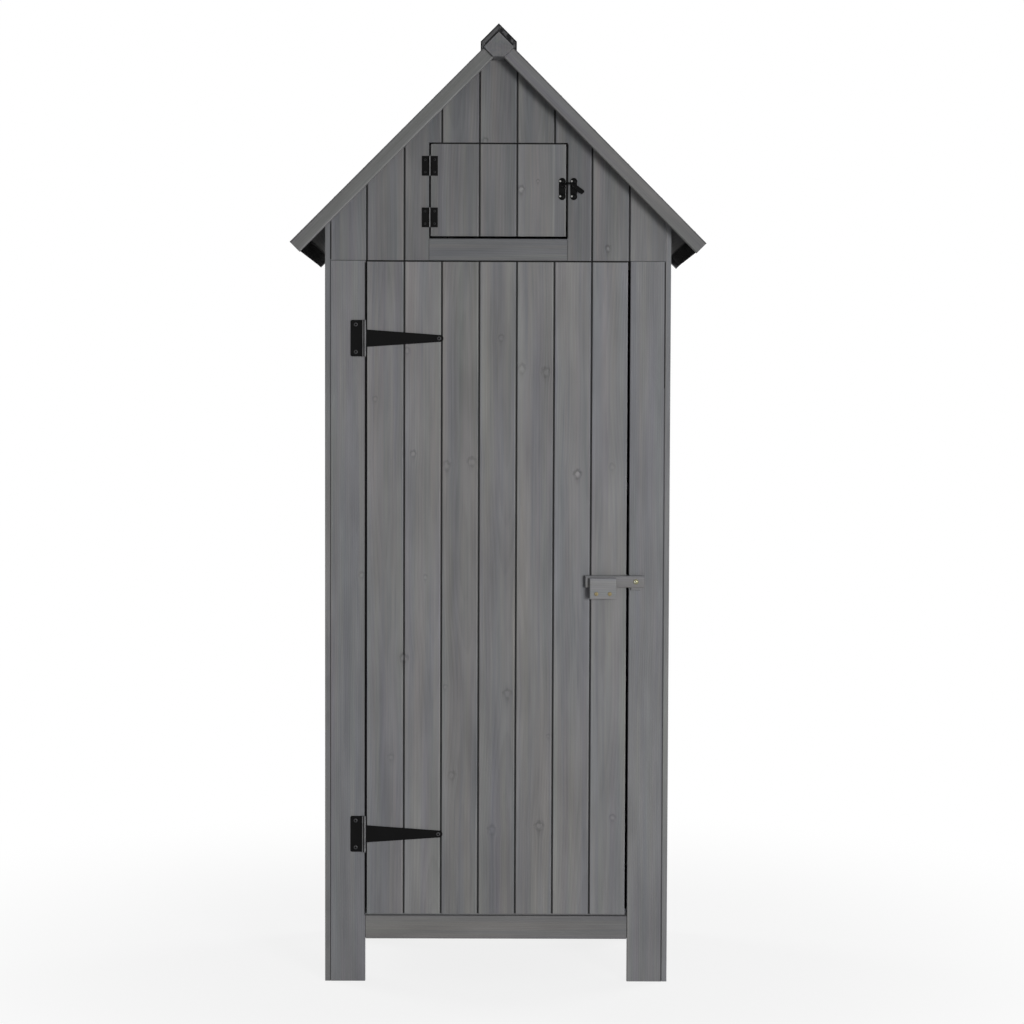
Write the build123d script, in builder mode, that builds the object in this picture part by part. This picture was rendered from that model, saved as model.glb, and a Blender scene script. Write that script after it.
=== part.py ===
"""A narrow timber garden shed: tongue-and-groove walls, a ledged door on T-hinges with a wooden
turn bar, a small loft door in the gable, and a steep felted roof on a square ridge beam.

Millimetres, +Z up, the front faces -Y. The origin is on the ground under the middle of the shed.
"""
import os
from math import ceil, floor, sqrt

from build123d import *

os.makedirs("parts", exist_ok=True)
ROOT2 = sqrt(2)

# Overall size
TOTAL_HEIGHT = 1790
TOTAL_DEPTH = 542
ROOF_WIDTH = 770
EAVE_OVERHANG = 62
VERGE_OVERHANG = 42

# Cladding boards, joined edge to edge by a tongue in a groove
BOARD_THICKNESS = 9.5
BOARD_PITCH = 70
FACE_GAP = 3.4
BACK_GAP = 0.8
TONGUE_DEPTH = 3.2
TONGUE_THICKNESS = 3.0
TONGUE_REACH = 4.5
EDGE_EASE = 0.9

# Clearances
FIT = 0.3
JOINT = 0.4
RUNNING_FIT = 0.06
PILOT_FIT = 0.1

# Front wall
STILE_WIDTH = 66.5
LEG_HEIGHT = 81
RAIL_HEIGHT = 44
SEAM_BELOW_EAVE = 30.5
LOFT_HALF_WIDTH = 129
LOFT_SILL_HEIGHT = 40.5
LOFT_OPENING_HEIGHT = 178

# Doors: the gaps round each leaf and the ledges behind it
HINGE_GAP = 2.2
LATCH_GAP = 4.6
DOOR_TOP_GAP = 3.0
DOOR_BOTTOM_GAP = 4.0
LOFT_GAP = 3.0
LOFT_BOTTOM_GAP = 4.5
LEDGE_HEIGHT = 60
LEDGE_THICKNESS = 18
LEDGE_INSET = 20
LEDGE_CHAMFER = 3
LOFT_LEDGE_HEIGHT = 32
LOFT_LEDGE_THICKNESS = 12

# Inner frame, floors and shelves
POST_SIZE = 28
HEADER_HEIGHT = 44
HEADER_BELOW_SEAM = 15.5
LINTEL_HEIGHT = 22
LINTEL_THICKNESS = 18
LINTEL_LAP = 8
LINTEL_INSET = 3.6
RAFTER_DEPTH = 28
RAFTER_THICKNESS = 20
PLATE_HEIGHT = 36
FLOOR_THICKNESS = 12
LOFT_FLOOR_THICKNESS = 9
PLANK_GAP = 3
SHELF_RISES = {"lower_shelf": 393, "upper_shelf": 793}
SHELF_SETBACK = 40
SHELF_BATTEN_HEIGHT = 20

# Roof, pitched at 45 degrees
FELT_THICKNESS = 2
FELT_LIP = 28
DECK_THICKNESS = 12
BARGE_DEPTH = 23
BARGE_THICKNESS = 15
BARGE_CHAMFER = 1.2
BEAM_SIDE = 39
BEAM_PROUD = 9
CAP_THICKNESS = 11.3
CAP_LEG = 47
CAP_PROUD = 3

# T-hinges of the door
HINGE_FROM_BOTTOM = 151.5
HINGE_FROM_TOP = 142.5
HINGE_SHEET = 2.0
HINGE_BARREL_RADIUS = 3.6
HINGE_PIN_RADIUS = 1.7
HINGE_AXIS_OFFSET = 2.7
HINGE_PLATE_WIDTH = 25
HINGE_PLATE_HEIGHT = 68
HINGE_CORNER = 3
STRAP_REACH = 148
STRAP_ROOT_HEIGHT = 33
STRAP_TIP_HEIGHT = 13
STRAP_TIP_SCREW = 8
PLATE_SCREW_X = 15.5
PLATE_SCREW_Z = 25.5

# Butt hinges of the loft door
LOFT_HINGE_FROM_BOTTOM = 34.5
LOFT_HINGE_FROM_TOP = 40.5
LOFT_LEAF_WIDTH = 14.8
LOFT_LEAF_HEIGHT = 36.5
LOFT_SHEET = 1.5
LOFT_BARREL_RADIUS = 2.1
LOFT_PIN_RADIUS = 1.0
LOFT_LEAF_SCREW_X = 8.8
LOFT_LEAF_SCREW_Z = 11.5

# Hook latch of the loft door
HOOK_RISE = 92.5
CATCH_INSET = 7
LATCH_PLATE_INSET = 11.5
LATCH_PLATE_SHEET = 2.0
LATCH_PLATE_HEIGHT = 41
LATCH_PLATE_WIDTH = 13
LATCH_PLATE_WAIST = 9
HOOK_SHEET = 2.0
HOOK_LIFT = 3.0
HOOK_ARM = 4.0
HOOK_HUB_RADIUS = 4.6
HOOK_PIN_RADIUS = 2.0
HOOK_HEAD_RADIUS = 3.2
HOOK_HEAD_HEIGHT = 1.2
HOOK_PIVOT = (2.0, 4.0)
HOOK_ARCH_RISE = 6.2
HOOK_BEAK = (-4.0, 1.9)
HOOK_THUMB = (16.5, -5.0)
HOOK_THUMB_RADIUS = 3.0
CATCH_POST = (5.0, 2.6)
CATCH_POST_RADIUS = 1.5
CATCH_POST_HEIGHT = 6.0

# Turn bar of the door and the keeper that it drops into
LATCH_HEIGHT = 759.5
BAR_LENGTH = 111
BAR_HEIGHT = 22
BAR_THICKNESS = 9
BAR_END = 16
BAR_EASE = 1.2
BAR_PIVOT_INSET = 13
SPACER_WIDTH = 19
SPACER_HEIGHT = 26
SPACER_THICKNESS = 4
SPACER_DROP = 4
KEEPER_INSET = 44.4
KEEPER_WIDTH = 50
KEEPER_SEAT_HEIGHT = 21
KEEPER_LIP = 18.5
KEEPER_THICKNESS = 9
KEEPER_FIT = 1.2
KEEPER_SCREW_SPACING = 25
KEEPER_SCREW_RISE = 10

# Screws: head radius, head height and shank radius, the sides that stand for their round heads
# and threaded shanks, and the share of a head's height that its bevelled rim takes
HEAD_SIDES = 12
SHANK_SIDES = 6
FLAT_BEVEL = 0.5
DOME_BEVEL = 0.65
SCREW_HEAD = 3.8
SCREW_HEAD_HEIGHT = 1.6
SCREW_SHANK = 1.7
SMALL_SCREW_HEAD = 2.3
SMALL_SCREW_HEAD_HEIGHT = 0.9
SMALL_SCREW_SHANK = 1.1
DOME_SCREW_HEAD = 3.6
DOME_SCREW_HEIGHT = 2.4
PIVOT_SCREW_HEAD = 4.8
PIVOT_SCREW_HEIGHT = 2.8
PIVOT_SCREW_SHANK = 2.4
SCREW_BITE = 7.5

# Places worked out from the sizes above
BODY_WIDTH = ROOF_WIDTH - 2 * EAVE_OVERHANG
BARGE_FACE = TOTAL_DEPTH / 2 - BEAM_PROUD
FRONT = BARGE_FACE - VERGE_OVERHANG
WALL_HALF_WIDTH = BODY_WIDTH / 2 - BOARD_THICKNESS
WALL_HALF_DEPTH = FRONT - BOARD_THICKNESS
POST_INNER_X = WALL_HALF_WIDTH - POST_SIZE
POST_INNER_Y = WALL_HALF_DEPTH - POST_SIZE
FLOOR_SEAT = LEG_HEIGHT + RAIL_HEIGHT
FLOOR_TOP = FLOOR_SEAT + FLOOR_THICKNESS
SHELF_HEIGHTS = {name: FLOOR_TOP + rise for name, rise in SHELF_RISES.items()}
ROOF_APEX = TOTAL_HEIGHT - CAP_THICKNESS * ROOT2
GABLE_BOTTOM = ROOF_APEX - ROOF_WIDTH / 2 - SEAM_BELOW_EAVE
LOFT_BOTTOM = GABLE_BOTTOM + LOFT_SILL_HEIGHT
LOFT_TOP = LOFT_BOTTOM + LOFT_OPENING_HEIGHT
OPENING_HALF_WIDTH = WALL_HALF_WIDTH - STILE_WIDTH
DOOR_LEFT = -OPENING_HALF_WIDTH + HINGE_GAP
DOOR_RIGHT = OPENING_HALF_WIDTH - LATCH_GAP
DOOR_BOTTOM = FLOOR_SEAT + DOOR_BOTTOM_GAP
DOOR_TOP = GABLE_BOTTOM - DOOR_TOP_GAP
LOFT_LEAF_HALF = LOFT_HALF_WIDTH - LOFT_GAP
LOFT_LEAF_BOTTOM = LOFT_BOTTOM + LOFT_BOTTOM_GAP
LOFT_LEAF_TOP = LOFT_TOP - LOFT_GAP
HEADER_BOTTOM = GABLE_BOTTOM - HEADER_BELOW_SEAM
HEADER_TOP = HEADER_BOTTOM + HEADER_HEIGHT
ROOF_EDGE = FELT_THICKNESS + BARGE_DEPTH
DECK_UNDERSIDE = ROOF_APEX - (FELT_THICKNESS + DECK_THICKNESS) * ROOT2
RAFTER_UNDERSIDE = DECK_UNDERSIDE - RAFTER_DEPTH * ROOT2
EAVE = ROOF_WIDTH / 2 * ROOT2
BEAM_BOTTOM = ROOF_APEX - (BEAM_SIDE + ROOF_EDGE) / ROOT2
DECK_HALF_DEPTH = BARGE_FACE - BARGE_THICKNESS
HINGE_HEIGHTS = {"lower": DOOR_BOTTOM + HINGE_FROM_BOTTOM, "upper": DOOR_TOP - HINGE_FROM_TOP}
HINGE_X = -OPENING_HALF_WIDTH - HINGE_AXIS_OFFSET
HINGE_OUT = HINGE_BARREL_RADIUS + FIT
LOFT_HINGE_HEIGHTS = (LOFT_LEAF_BOTTOM + LOFT_HINGE_FROM_BOTTOM, LOFT_LEAF_TOP - LOFT_HINGE_FROM_TOP)
LOFT_HINGE_X = -LOFT_HALF_WIDTH + LOFT_GAP / 2
LOFT_HINGE_OUT = LOFT_BARREL_RADIUS + FIT
STRAP_TIP = HINGE_X + STRAP_REACH
HOOK_HEIGHT = LOFT_BOTTOM + HOOK_RISE
CATCH_X = LOFT_LEAF_HALF - CATCH_INSET
CATCH_POST_X = CATCH_X + CATCH_POST[0]
CATCH_POST_Z = HOOK_HEIGHT + CATCH_POST[1]
LATCH_PLATE_X = LOFT_HALF_WIDTH + LATCH_PLATE_INSET
HOOK_PIVOT_X = LATCH_PLATE_X + HOOK_PIVOT[0]
HOOK_PIVOT_Z = HOOK_HEIGHT + HOOK_PIVOT[1]
BAR_PIVOT_X = OPENING_HALF_WIDTH + BAR_PIVOT_INSET
BAR_BOTTOM = LATCH_HEIGHT - BAR_HEIGHT / 2
BAR_FACE = SPACER_THICKNESS + BAR_THICKNESS
KEEPER_X = DOOR_RIGHT - KEEPER_INSET
KEEPER_SEAT_TOP = BAR_BOTTOM - FIT
KEEPER_BOTTOM = KEEPER_SEAT_TOP - KEEPER_SEAT_HEIGHT
KEEPER_SEAT_THICKNESS = BAR_FACE + KEEPER_FIT

# The outer face of each wall: local X runs along the wall, local Y into the shed
FRONT_WALL = Plane(origin=(0, -FRONT, 0), x_dir=(1, 0, 0), z_dir=(0, 0, 1))
BACK_WALL = Plane(origin=(0, FRONT, 0), x_dir=(-1, 0, 0), z_dir=(0, 0, 1))
LEFT_WALL = Plane(origin=(-BODY_WIDTH / 2, 0, 0), x_dir=(0, -1, 0), z_dir=(0, 0, 1))
RIGHT_WALL = Plane(origin=(BODY_WIDTH / 2, 0, 0), x_dir=(0, 1, 0), z_dir=(0, 0, 1))

# The front face as seen by someone in front of it: local X is X, local Y is Z
FRONT_FACE = Plane.XZ.offset(FRONT)

# Screw places on the front, as (x, z)
HINGE_PLATE_SCREWS = [
    (HINGE_X - PLATE_SCREW_X, height + rise)
    for height in HINGE_HEIGHTS.values()
    for rise in (-PLATE_SCREW_Z, PLATE_SCREW_Z)
]
STRAP_SCREWS = [(STRAP_TIP - STRAP_TIP_SCREW, height) for height in HINGE_HEIGHTS.values()]
LOFT_JAMB_SCREWS = [
    (LOFT_HINGE_X - LOFT_LEAF_SCREW_X, height + rise)
    for height in LOFT_HINGE_HEIGHTS
    for rise in (-LOFT_LEAF_SCREW_Z, LOFT_LEAF_SCREW_Z)
]
LOFT_LEAF_SCREWS = [(2 * LOFT_HINGE_X - x, z) for x, z in LOFT_JAMB_SCREWS]
LOBE_RISE = (LATCH_PLATE_HEIGHT - LATCH_PLATE_WIDTH) / 2
LATCH_PLATE_SCREWS = [(LATCH_PLATE_X, HOOK_HEIGHT + rise) for rise in (-LOBE_RISE, LOBE_RISE)]
CATCH_SCREWS = [(CATCH_X, HOOK_HEIGHT + rise) for rise in (-LOBE_RISE, LOBE_RISE)]
KEEPER_SCREWS = [
    (KEEPER_X + side * KEEPER_SCREW_SPACING / 2, KEEPER_BOTTOM + KEEPER_SCREW_RISE)
    for side in (-1, 1)
]
PIVOT_SCREW = [(BAR_PIVOT_X, LATCH_HEIGHT)]


def save(part, name):
    """Labels a finished piece and writes it to its own file."""
    part.label = name
    export_step(part, f"parts/{name}.step")


def board_lines(low, high, phase):
    """Edges of the boards between two ends: joints one pitch apart, one of them at the phase,
    and no end board narrower than half a pitch."""
    first = ceil((low + BOARD_PITCH / 2 - phase) / BOARD_PITCH)
    last = floor((high - BOARD_PITCH / 2 - phase) / BOARD_PITCH)
    joints = [phase + BOARD_PITCH * step for step in range(first, last + 1)]
    return [low, *joints, high]


def board_section(plane, lines, index):
    """Cross-section of one board: a groove towards the board before it, a tongue towards the
    next one, plain edges at the ends of the wall, and eased corners on the face."""
    grooved = index > 0
    tongued = index < len(lines) - 2
    left = lines[index] + (FACE_GAP / 2 if grooved else JOINT)
    right = lines[index + 1] - (FACE_GAP / 2 if tongued else JOINT)
    back_left = lines[index] + BACK_GAP / 2 if grooved else left
    back_right = lines[index + 1] - BACK_GAP / 2 if tongued else right
    tongue_back = TONGUE_DEPTH + TONGUE_THICKNESS
    outline = [(left, EDGE_EASE), (left + EDGE_EASE, 0), (right - EDGE_EASE, 0), (right, EDGE_EASE)]
    if tongued:
        tip = right + FACE_GAP + TONGUE_REACH - FIT
        outline += [(right, TONGUE_DEPTH), (tip, TONGUE_DEPTH), (tip, tongue_back)]
        outline += [(back_right, tongue_back)]
    outline += [(back_right, BOARD_THICKNESS), (back_left, BOARD_THICKNESS)]
    if grooved:
        bottom = left + TONGUE_REACH
        outline += [(back_left, tongue_back + FIT), (bottom, tongue_back + FIT)]
        outline += [(bottom, TONGUE_DEPTH - FIT), (left, TONGUE_DEPTH - FIT)]
    with BuildSketch(plane) as section:
        with BuildLine():
            Polyline(*outline, close=True)
        make_face()
    return section.sketch


def trim_under_roof():
    """Cuts the open part along the undersides of the two roof decks."""
    for side in (-1, 1):
        split(bisect_by=Plane(origin=(0, 0, DECK_UNDERSIDE), z_dir=(side, 0, 1)), keep=Keep.BOTTOM)


def shank_section(radius, turning):
    """Section of a screw shank or of its hole: round where something turns on it."""
    if turning:
        Circle(radius)
    else:
        RegularPolygon(radius, SHANK_SIDES)


def pilot_holes(places, shank, turning=False):
    """Holes for screw shanks, from the front face into the wood of the open part."""
    with BuildSketch(FRONT_FACE) as mouths:
        with Locations(*places):
            shank_section(shank + PILOT_FIT, turning)
    extrude(mouths.sketch, amount=-SCREW_BITE - FIT, mode=Mode.SUBTRACT)


def beam(low, high):
    """A square-cut timber between two opposite corners, added to the open part."""
    size = [high[axis] - low[axis] for axis in range(3)]
    with Locations(low):
        Box(*size, align=(Align.MIN, Align.MIN, Align.MIN))


# Front wall: two stiles that run down as legs, a bottom rail and the gable boards
def front_stile(side, screws, shank, turning):
    """Upright board beside the door, from the ground to the gable, with its pilot holes."""
    with BuildPart() as stile:
        lines = sorted([side * OPENING_HALF_WIDTH, side * WALL_HALF_WIDTH])
        extrude(board_section(FRONT_WALL, lines, 0), amount=GABLE_BOTTOM - JOINT)
        pilot_holes(screws, shank, turning)
    return stile.part


save(front_stile(-1, HINGE_PLATE_SCREWS, SCREW_SHANK, False), "front_stile_left")
save(front_stile(1, PIVOT_SCREW, PIVOT_SCREW_SHANK, True), "front_stile_right")

with BuildPart() as front_bottom_rail:
    with BuildSketch(FRONT_WALL.offset(LEG_HEIGHT)):
        with Locations((0, BOARD_THICKNESS / 2)):
            Rectangle(2 * (OPENING_HALF_WIDTH - JOINT), BOARD_THICKNESS)
    extrude(amount=RAIL_HEIGHT)
    rail_face = front_bottom_rail.faces().sort_by(Axis.Y)[0]
    chamfer(rail_face.edges().filter_by(Axis.X), length=EDGE_EASE)
save(front_bottom_rail.part, "front_bottom_rail")

GABLE_LINES = board_lines(-WALL_HALF_WIDTH, WALL_HALF_WIDTH, BOARD_PITCH / 2)


def gable_boards(indices, screws=()):
    """Gable boards cut round the loft opening, under the roof and under the ridge beam."""
    with BuildPart() as boards:
        for index in indices:
            section = board_section(FRONT_WALL.offset(GABLE_BOTTOM), GABLE_LINES, index)
            extrude(section, amount=BEAM_BOTTOM - GABLE_BOTTOM)
        trim_under_roof()
        with BuildSketch(FRONT_FACE):
            with Locations((0, GABLE_BOTTOM)):
                Rectangle(2 * LOFT_HALF_WIDTH, LOFT_TOP - GABLE_BOTTOM, align=(Align.CENTER, Align.MIN))
        extrude(amount=-BOARD_THICKNESS, mode=Mode.SUBTRACT)
        for places, shank in screws:
            pilot_holes(places, shank)
    return boards.part


board_places = range(len(GABLE_LINES) - 1)
left_places = [place for place in board_places if GABLE_LINES[place] < -LOFT_HALF_WIDTH]
right_places = [place for place in board_places if GABLE_LINES[place + 1] > LOFT_HALF_WIDTH]
middle_places = [place for place in board_places if place not in left_places + right_places]
save(gable_boards(left_places, [(LOFT_JAMB_SCREWS, SMALL_SCREW_SHANK)]), "gable_boards_left")
save(gable_boards(middle_places), "gable_boards_middle")
save(gable_boards(right_places, [(LATCH_PLATE_SCREWS, SCREW_SHANK)]), "gable_boards_right")

with BuildPart() as loft_sill:
    with BuildSketch(FRONT_WALL.offset(GABLE_BOTTOM)):
        with Locations((0, BOARD_THICKNESS / 2)):
            Rectangle(2 * (LOFT_HALF_WIDTH - JOINT), BOARD_THICKNESS)
    extrude(amount=LOFT_BOTTOM - GABLE_BOTTOM)
    sill_face = loft_sill.faces().sort_by(Axis.Y)[0]
    chamfer(sill_face.edges().filter_by(Axis.X), length=EDGE_EASE)
save(loft_sill.part, "loft_sill")

# Side and back walls: the outer boards of the sides run down to the ground as legs
SIDE_LINES = board_lines(-FRONT, FRONT, 0)


def wall_boards(plane, lines, legs):
    """One wall of boards up to the roof, whose outer ones stand on the ground where it has legs."""
    with BuildPart() as boards:
        for index in range(len(lines) - 1):
            leg = legs and index in (0, len(lines) - 2)
            bottom = 0 if leg else LEG_HEIGHT
            section = board_section(plane.offset(bottom), lines, index)
            extrude(section, amount=BEAM_BOTTOM - bottom)
        trim_under_roof()
    return boards.part


save(wall_boards(LEFT_WALL, SIDE_LINES, True), "left_side_boards")
save(wall_boards(RIGHT_WALL, SIDE_LINES, True), "right_side_boards")
save(wall_boards(BACK_WALL, GABLE_LINES, False), "back_boards")

# Inner frame: corner posts, wall plates, headers, rafters behind the gables
with BuildPart() as corner_posts:
    post_spacing_x = POST_INNER_X + WALL_HALF_WIDTH
    post_spacing_y = POST_INNER_Y + WALL_HALF_DEPTH
    with BuildSketch():
        with GridLocations(post_spacing_x, post_spacing_y, 2, 2):
            Rectangle(POST_SIZE, POST_SIZE)
    extrude(amount=ROOF_APEX)
    trim_under_roof()
save(corner_posts.part, "corner_posts")

with BuildPart() as side_plates:
    plate_top = DECK_UNDERSIDE - POST_INNER_X
    plate_bottom = DECK_UNDERSIDE - WALL_HALF_WIDTH - PLATE_HEIGHT
    for side in (-1, 1):
        edges = sorted([side * POST_INNER_X, side * WALL_HALF_WIDTH])
        beam((edges[0], -POST_INNER_Y + JOINT, plate_bottom), (edges[1], POST_INNER_Y - JOINT, plate_top))
    trim_under_roof()
save(side_plates.part, "side_plates")

with BuildPart() as loft_beams:
    for side in (-1, 1):
        across = sorted([side * POST_INNER_Y, side * WALL_HALF_DEPTH])
        beam(
            (-POST_INNER_X + JOINT, across[0], HEADER_BOTTOM),
            (POST_INNER_X - JOINT, across[1], HEADER_TOP),
        )
save(loft_beams.part, "loft_beams")

with BuildPart() as loft_lintel:
    lintel_bottom = LOFT_TOP - LINTEL_LAP
    lintel_top = lintel_bottom + LINTEL_HEIGHT
    lintel_half = RAFTER_UNDERSIDE - lintel_top - LINTEL_INSET
    lintel_back = -WALL_HALF_DEPTH + LINTEL_THICKNESS
    beam((-lintel_half, -WALL_HALF_DEPTH, lintel_bottom), (lintel_half, lintel_back, lintel_top))
save(loft_lintel.part, "loft_lintel")

with BuildPart() as gable_rafters:
    rafter_inner = BEAM_SIDE / ROOT2 + JOINT
    rafter_outer = POST_INNER_X - JOINT
    for side in (-1, 1):
        for wall in (-WALL_HALF_DEPTH, WALL_HALF_DEPTH - RAFTER_THICKNESS):
            with BuildSketch(Plane.XZ.offset(-wall)):
                with BuildLine():
                    Polyline(
                        (side * rafter_inner, DECK_UNDERSIDE - rafter_inner),
                        (side * rafter_outer, DECK_UNDERSIDE - rafter_outer),
                        (side * rafter_outer, RAFTER_UNDERSIDE - rafter_outer),
                        (side * rafter_inner, RAFTER_UNDERSIDE - rafter_inner),
                        close=True,
                    )
                make_face()
            extrude(amount=-RAFTER_THICKNESS)
save(gable_rafters.part, "gable_rafters")

# Floor on a frame of four beams, the loft floor and two shelves on battens
with BuildPart() as floor_frame:
    for side in (-1, 1):
        across = sorted([side * POST_INNER_Y, side * WALL_HALF_DEPTH])
        along = sorted([side * POST_INNER_X, side * WALL_HALF_WIDTH])
        beam((-POST_INNER_X + JOINT, across[0], LEG_HEIGHT), (POST_INNER_X - JOINT, across[1], FLOOR_SEAT))
        beam((along[0], -POST_INNER_Y + JOINT, LEG_HEIGHT), (along[1], POST_INNER_Y - JOINT, FLOOR_SEAT))
save(floor_frame.part, "floor_frame")


def planks(front, back, bottom, thickness):
    """Planks laid across the shed from front to back, notched round the corner posts."""
    lines = board_lines(front, back, 0)
    with BuildPart() as deck:
        for start, end in zip(lines, lines[1:]):
            near = start + (PLANK_GAP / 2 if start != front else 0)
            far = end - (PLANK_GAP / 2 if end != back else 0)
            plank_end = WALL_HALF_WIDTH - JOINT
            beam((-plank_end, near, bottom), (plank_end, far, bottom + thickness))
        with BuildSketch(Plane.XY.offset(bottom)):
            with GridLocations(2 * WALL_HALF_WIDTH, 2 * WALL_HALF_DEPTH, 2, 2):
                Rectangle(2 * (POST_SIZE + JOINT), 2 * (POST_SIZE + JOINT))
        extrude(amount=thickness, mode=Mode.SUBTRACT)
    return deck.part


save(planks(-WALL_HALF_DEPTH, WALL_HALF_DEPTH, FLOOR_SEAT, FLOOR_THICKNESS), "floor_boards")
save(planks(-WALL_HALF_DEPTH, WALL_HALF_DEPTH, HEADER_TOP, LOFT_FLOOR_THICKNESS), "loft_floor")

for shelf_name, shelf_height in SHELF_HEIGHTS.items():
    shelf_front = -WALL_HALF_DEPTH + SHELF_SETBACK
    save(planks(shelf_front, WALL_HALF_DEPTH, shelf_height, FLOOR_THICKNESS), shelf_name)

with BuildPart() as shelf_battens:
    for shelf_height in SHELF_HEIGHTS.values():
        for side in (-1, 1):
            along = sorted([side * POST_INNER_X, side * WALL_HALF_WIDTH])
            beam(
                (along[0], -POST_INNER_Y + JOINT, shelf_height - SHELF_BATTEN_HEIGHT),
                (along[1], POST_INNER_Y - JOINT, shelf_height),
            )
save(shelf_battens.part, "shelf_battens")


# Roof: decks that butt on the ridge beam, felt folded under the eaves, barge boards and a cap
def roof_plane(side, depth=0):
    """Section plane of one slope at a depth: local X runs down the slope from the apex, local Y
    points out of the roof, and the depth is the middle of what is extruded both ways."""
    return Plane(origin=(0, depth, ROOF_APEX), x_dir=(side, 0, -1), z_dir=(0, -side, 0))


def slope_strip(side, depth, start, end, top, thickness):
    """Rectangle on a slope's section plane, from start to end down the slope, below the top face."""
    with BuildSketch(roof_plane(side, depth)) as strip:
        with Locations((start, -top)):
            Rectangle(end - start, thickness, align=(Align.MIN, Align.MAX))
    return strip.sketch


for side, side_name in ((-1, "left"), (1, "right")):
    slope_start = BEAM_SIDE + JOINT
    deck_end = EAVE - FELT_THICKNESS
    deck_bottom = FELT_THICKNESS + DECK_THICKNESS
    with BuildPart() as roof_deck:
        deck_section = slope_strip(side, 0, slope_start, deck_end, FELT_THICKNESS, DECK_THICKNESS)
        extrude(deck_section, amount=DECK_HALF_DEPTH, both=True)
    save(roof_deck.part, f"roof_deck_{side_name}")

    with BuildPart() as roof_felt:
        cover = slope_strip(side, 0, slope_start, EAVE, 0, FELT_THICKNESS)
        extrude(cover, amount=BARGE_FACE, both=True)
        fold = slope_strip(side, 0, deck_end, EAVE, 0, deck_bottom + FELT_THICKNESS)
        extrude(fold, amount=DECK_HALF_DEPTH - FIT, both=True)
        lip = slope_strip(side, 0, EAVE - FELT_LIP, EAVE, deck_bottom, FELT_THICKNESS)
        extrude(lip, amount=DECK_HALF_DEPTH - FIT, both=True)
    save(roof_felt.part, f"roof_felt_{side_name}")

    for end, end_name in ((-1, "front"), (1, "back")):
        with BuildPart() as barge_board:
            barge_depth = end * (BARGE_FACE - BARGE_THICKNESS / 2)
            barge_section = slope_strip(side, barge_depth, slope_start, EAVE, FELT_THICKNESS, BARGE_DEPTH)
            extrude(barge_section, amount=BARGE_THICKNESS / 2, both=True)
            lower_face = barge_board.faces().sort_by(Axis((0, 0, 0), (side, 0, 1)))[0]
            chamfer(lower_face.edges().filter_by(Axis((0, 0, 0), (side, 0, -1))), length=BARGE_CHAMFER)
        save(barge_board.part, f"barge_board_{end_name}_{side_name}")

with BuildPart() as ridge_beam:
    beam_half = BEAM_SIDE / ROOT2
    beam_foot = (BEAM_SIDE - ROOF_EDGE) / ROOT2
    with BuildSketch(Plane.XZ):
        with BuildLine():
            Polyline(
                (0, ROOF_APEX),
                (beam_half, ROOF_APEX - beam_half),
                (beam_foot, BEAM_BOTTOM),
                (-beam_foot, BEAM_BOTTOM),
                (-beam_half, ROOF_APEX - beam_half),
                close=True,
            )
        make_face()
    extrude(amount=TOTAL_DEPTH / 2, both=True)
    chamfer(ridge_beam.faces().sort_by(Axis.Y)[0].edges(), length=EDGE_EASE)
    chamfer(ridge_beam.faces().sort_by(Axis.Y)[-1].edges(), length=EDGE_EASE)
save(ridge_beam.part, "ridge_beam")

with BuildPart() as ridge_cap:
    cap_half = CAP_LEG / ROOT2
    with BuildSketch(Plane.XZ):
        with BuildLine():
            Polyline(
                (0, ROOF_APEX),
                (cap_half, ROOF_APEX - cap_half),
                (cap_half, TOTAL_HEIGHT - cap_half),
                (0, TOTAL_HEIGHT),
                (-cap_half, TOTAL_HEIGHT - cap_half),
                (-cap_half, ROOF_APEX - cap_half),
                close=True,
            )
        make_face()
    extrude(amount=BARGE_FACE + CAP_PROUD, both=True)
save(ridge_cap.part, "ridge_cap")


# Screws driven into the front face through their fittings
def screws(places, base, head, shank, turning=False):
    """Screws with bevelled heads on a face that stands proud of the front by the base."""
    head_radius, head_height, bevel = head
    with BuildPart() as group:
        with BuildSketch(FRONT_FACE.offset(base)):
            with Locations(*places):
                RegularPolygon(head_radius, HEAD_SIDES)
        extrude(amount=head_height)
        crowns = group.faces().group_by(Axis.Y)[0]
        chamfer(crowns.edges(), length=bevel * head_height)
        with BuildSketch(FRONT_FACE.offset(-SCREW_BITE)):
            with Locations(*places):
                shank_section(shank, turning)
        extrude(amount=SCREW_BITE + base)
    return group.part


SCREW = (SCREW_HEAD, SCREW_HEAD_HEIGHT, FLAT_BEVEL)
SMALL_SCREW = (SMALL_SCREW_HEAD, SMALL_SCREW_HEAD_HEIGHT, FLAT_BEVEL)
DOME_SCREW = (DOME_SCREW_HEAD, DOME_SCREW_HEIGHT, DOME_BEVEL)
PIVOT_SCREW_SIZE = (PIVOT_SCREW_HEAD, PIVOT_SCREW_HEIGHT, DOME_BEVEL)
KEEPER_FACE = KEEPER_SEAT_THICKNESS + KEEPER_THICKNESS
save(screws(HINGE_PLATE_SCREWS, HINGE_SHEET, SCREW, SCREW_SHANK), "hinge_plate_screws")
save(screws(STRAP_SCREWS, HINGE_SHEET, SCREW, SCREW_SHANK), "hinge_strap_screws")
save(screws(LOFT_JAMB_SCREWS, LOFT_SHEET, SMALL_SCREW, SMALL_SCREW_SHANK), "loft_jamb_screws")
save(screws(LOFT_LEAF_SCREWS, LOFT_SHEET, SMALL_SCREW, SMALL_SCREW_SHANK), "loft_leaf_screws")
save(screws(LATCH_PLATE_SCREWS, LATCH_PLATE_SHEET, DOME_SCREW, SCREW_SHANK), "loft_latch_screws")
save(screws(CATCH_SCREWS, LATCH_PLATE_SHEET, DOME_SCREW, SCREW_SHANK), "loft_catch_screws")
save(screws(KEEPER_SCREWS, KEEPER_FACE, SCREW, SCREW_SHANK), "keeper_screws")
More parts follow.
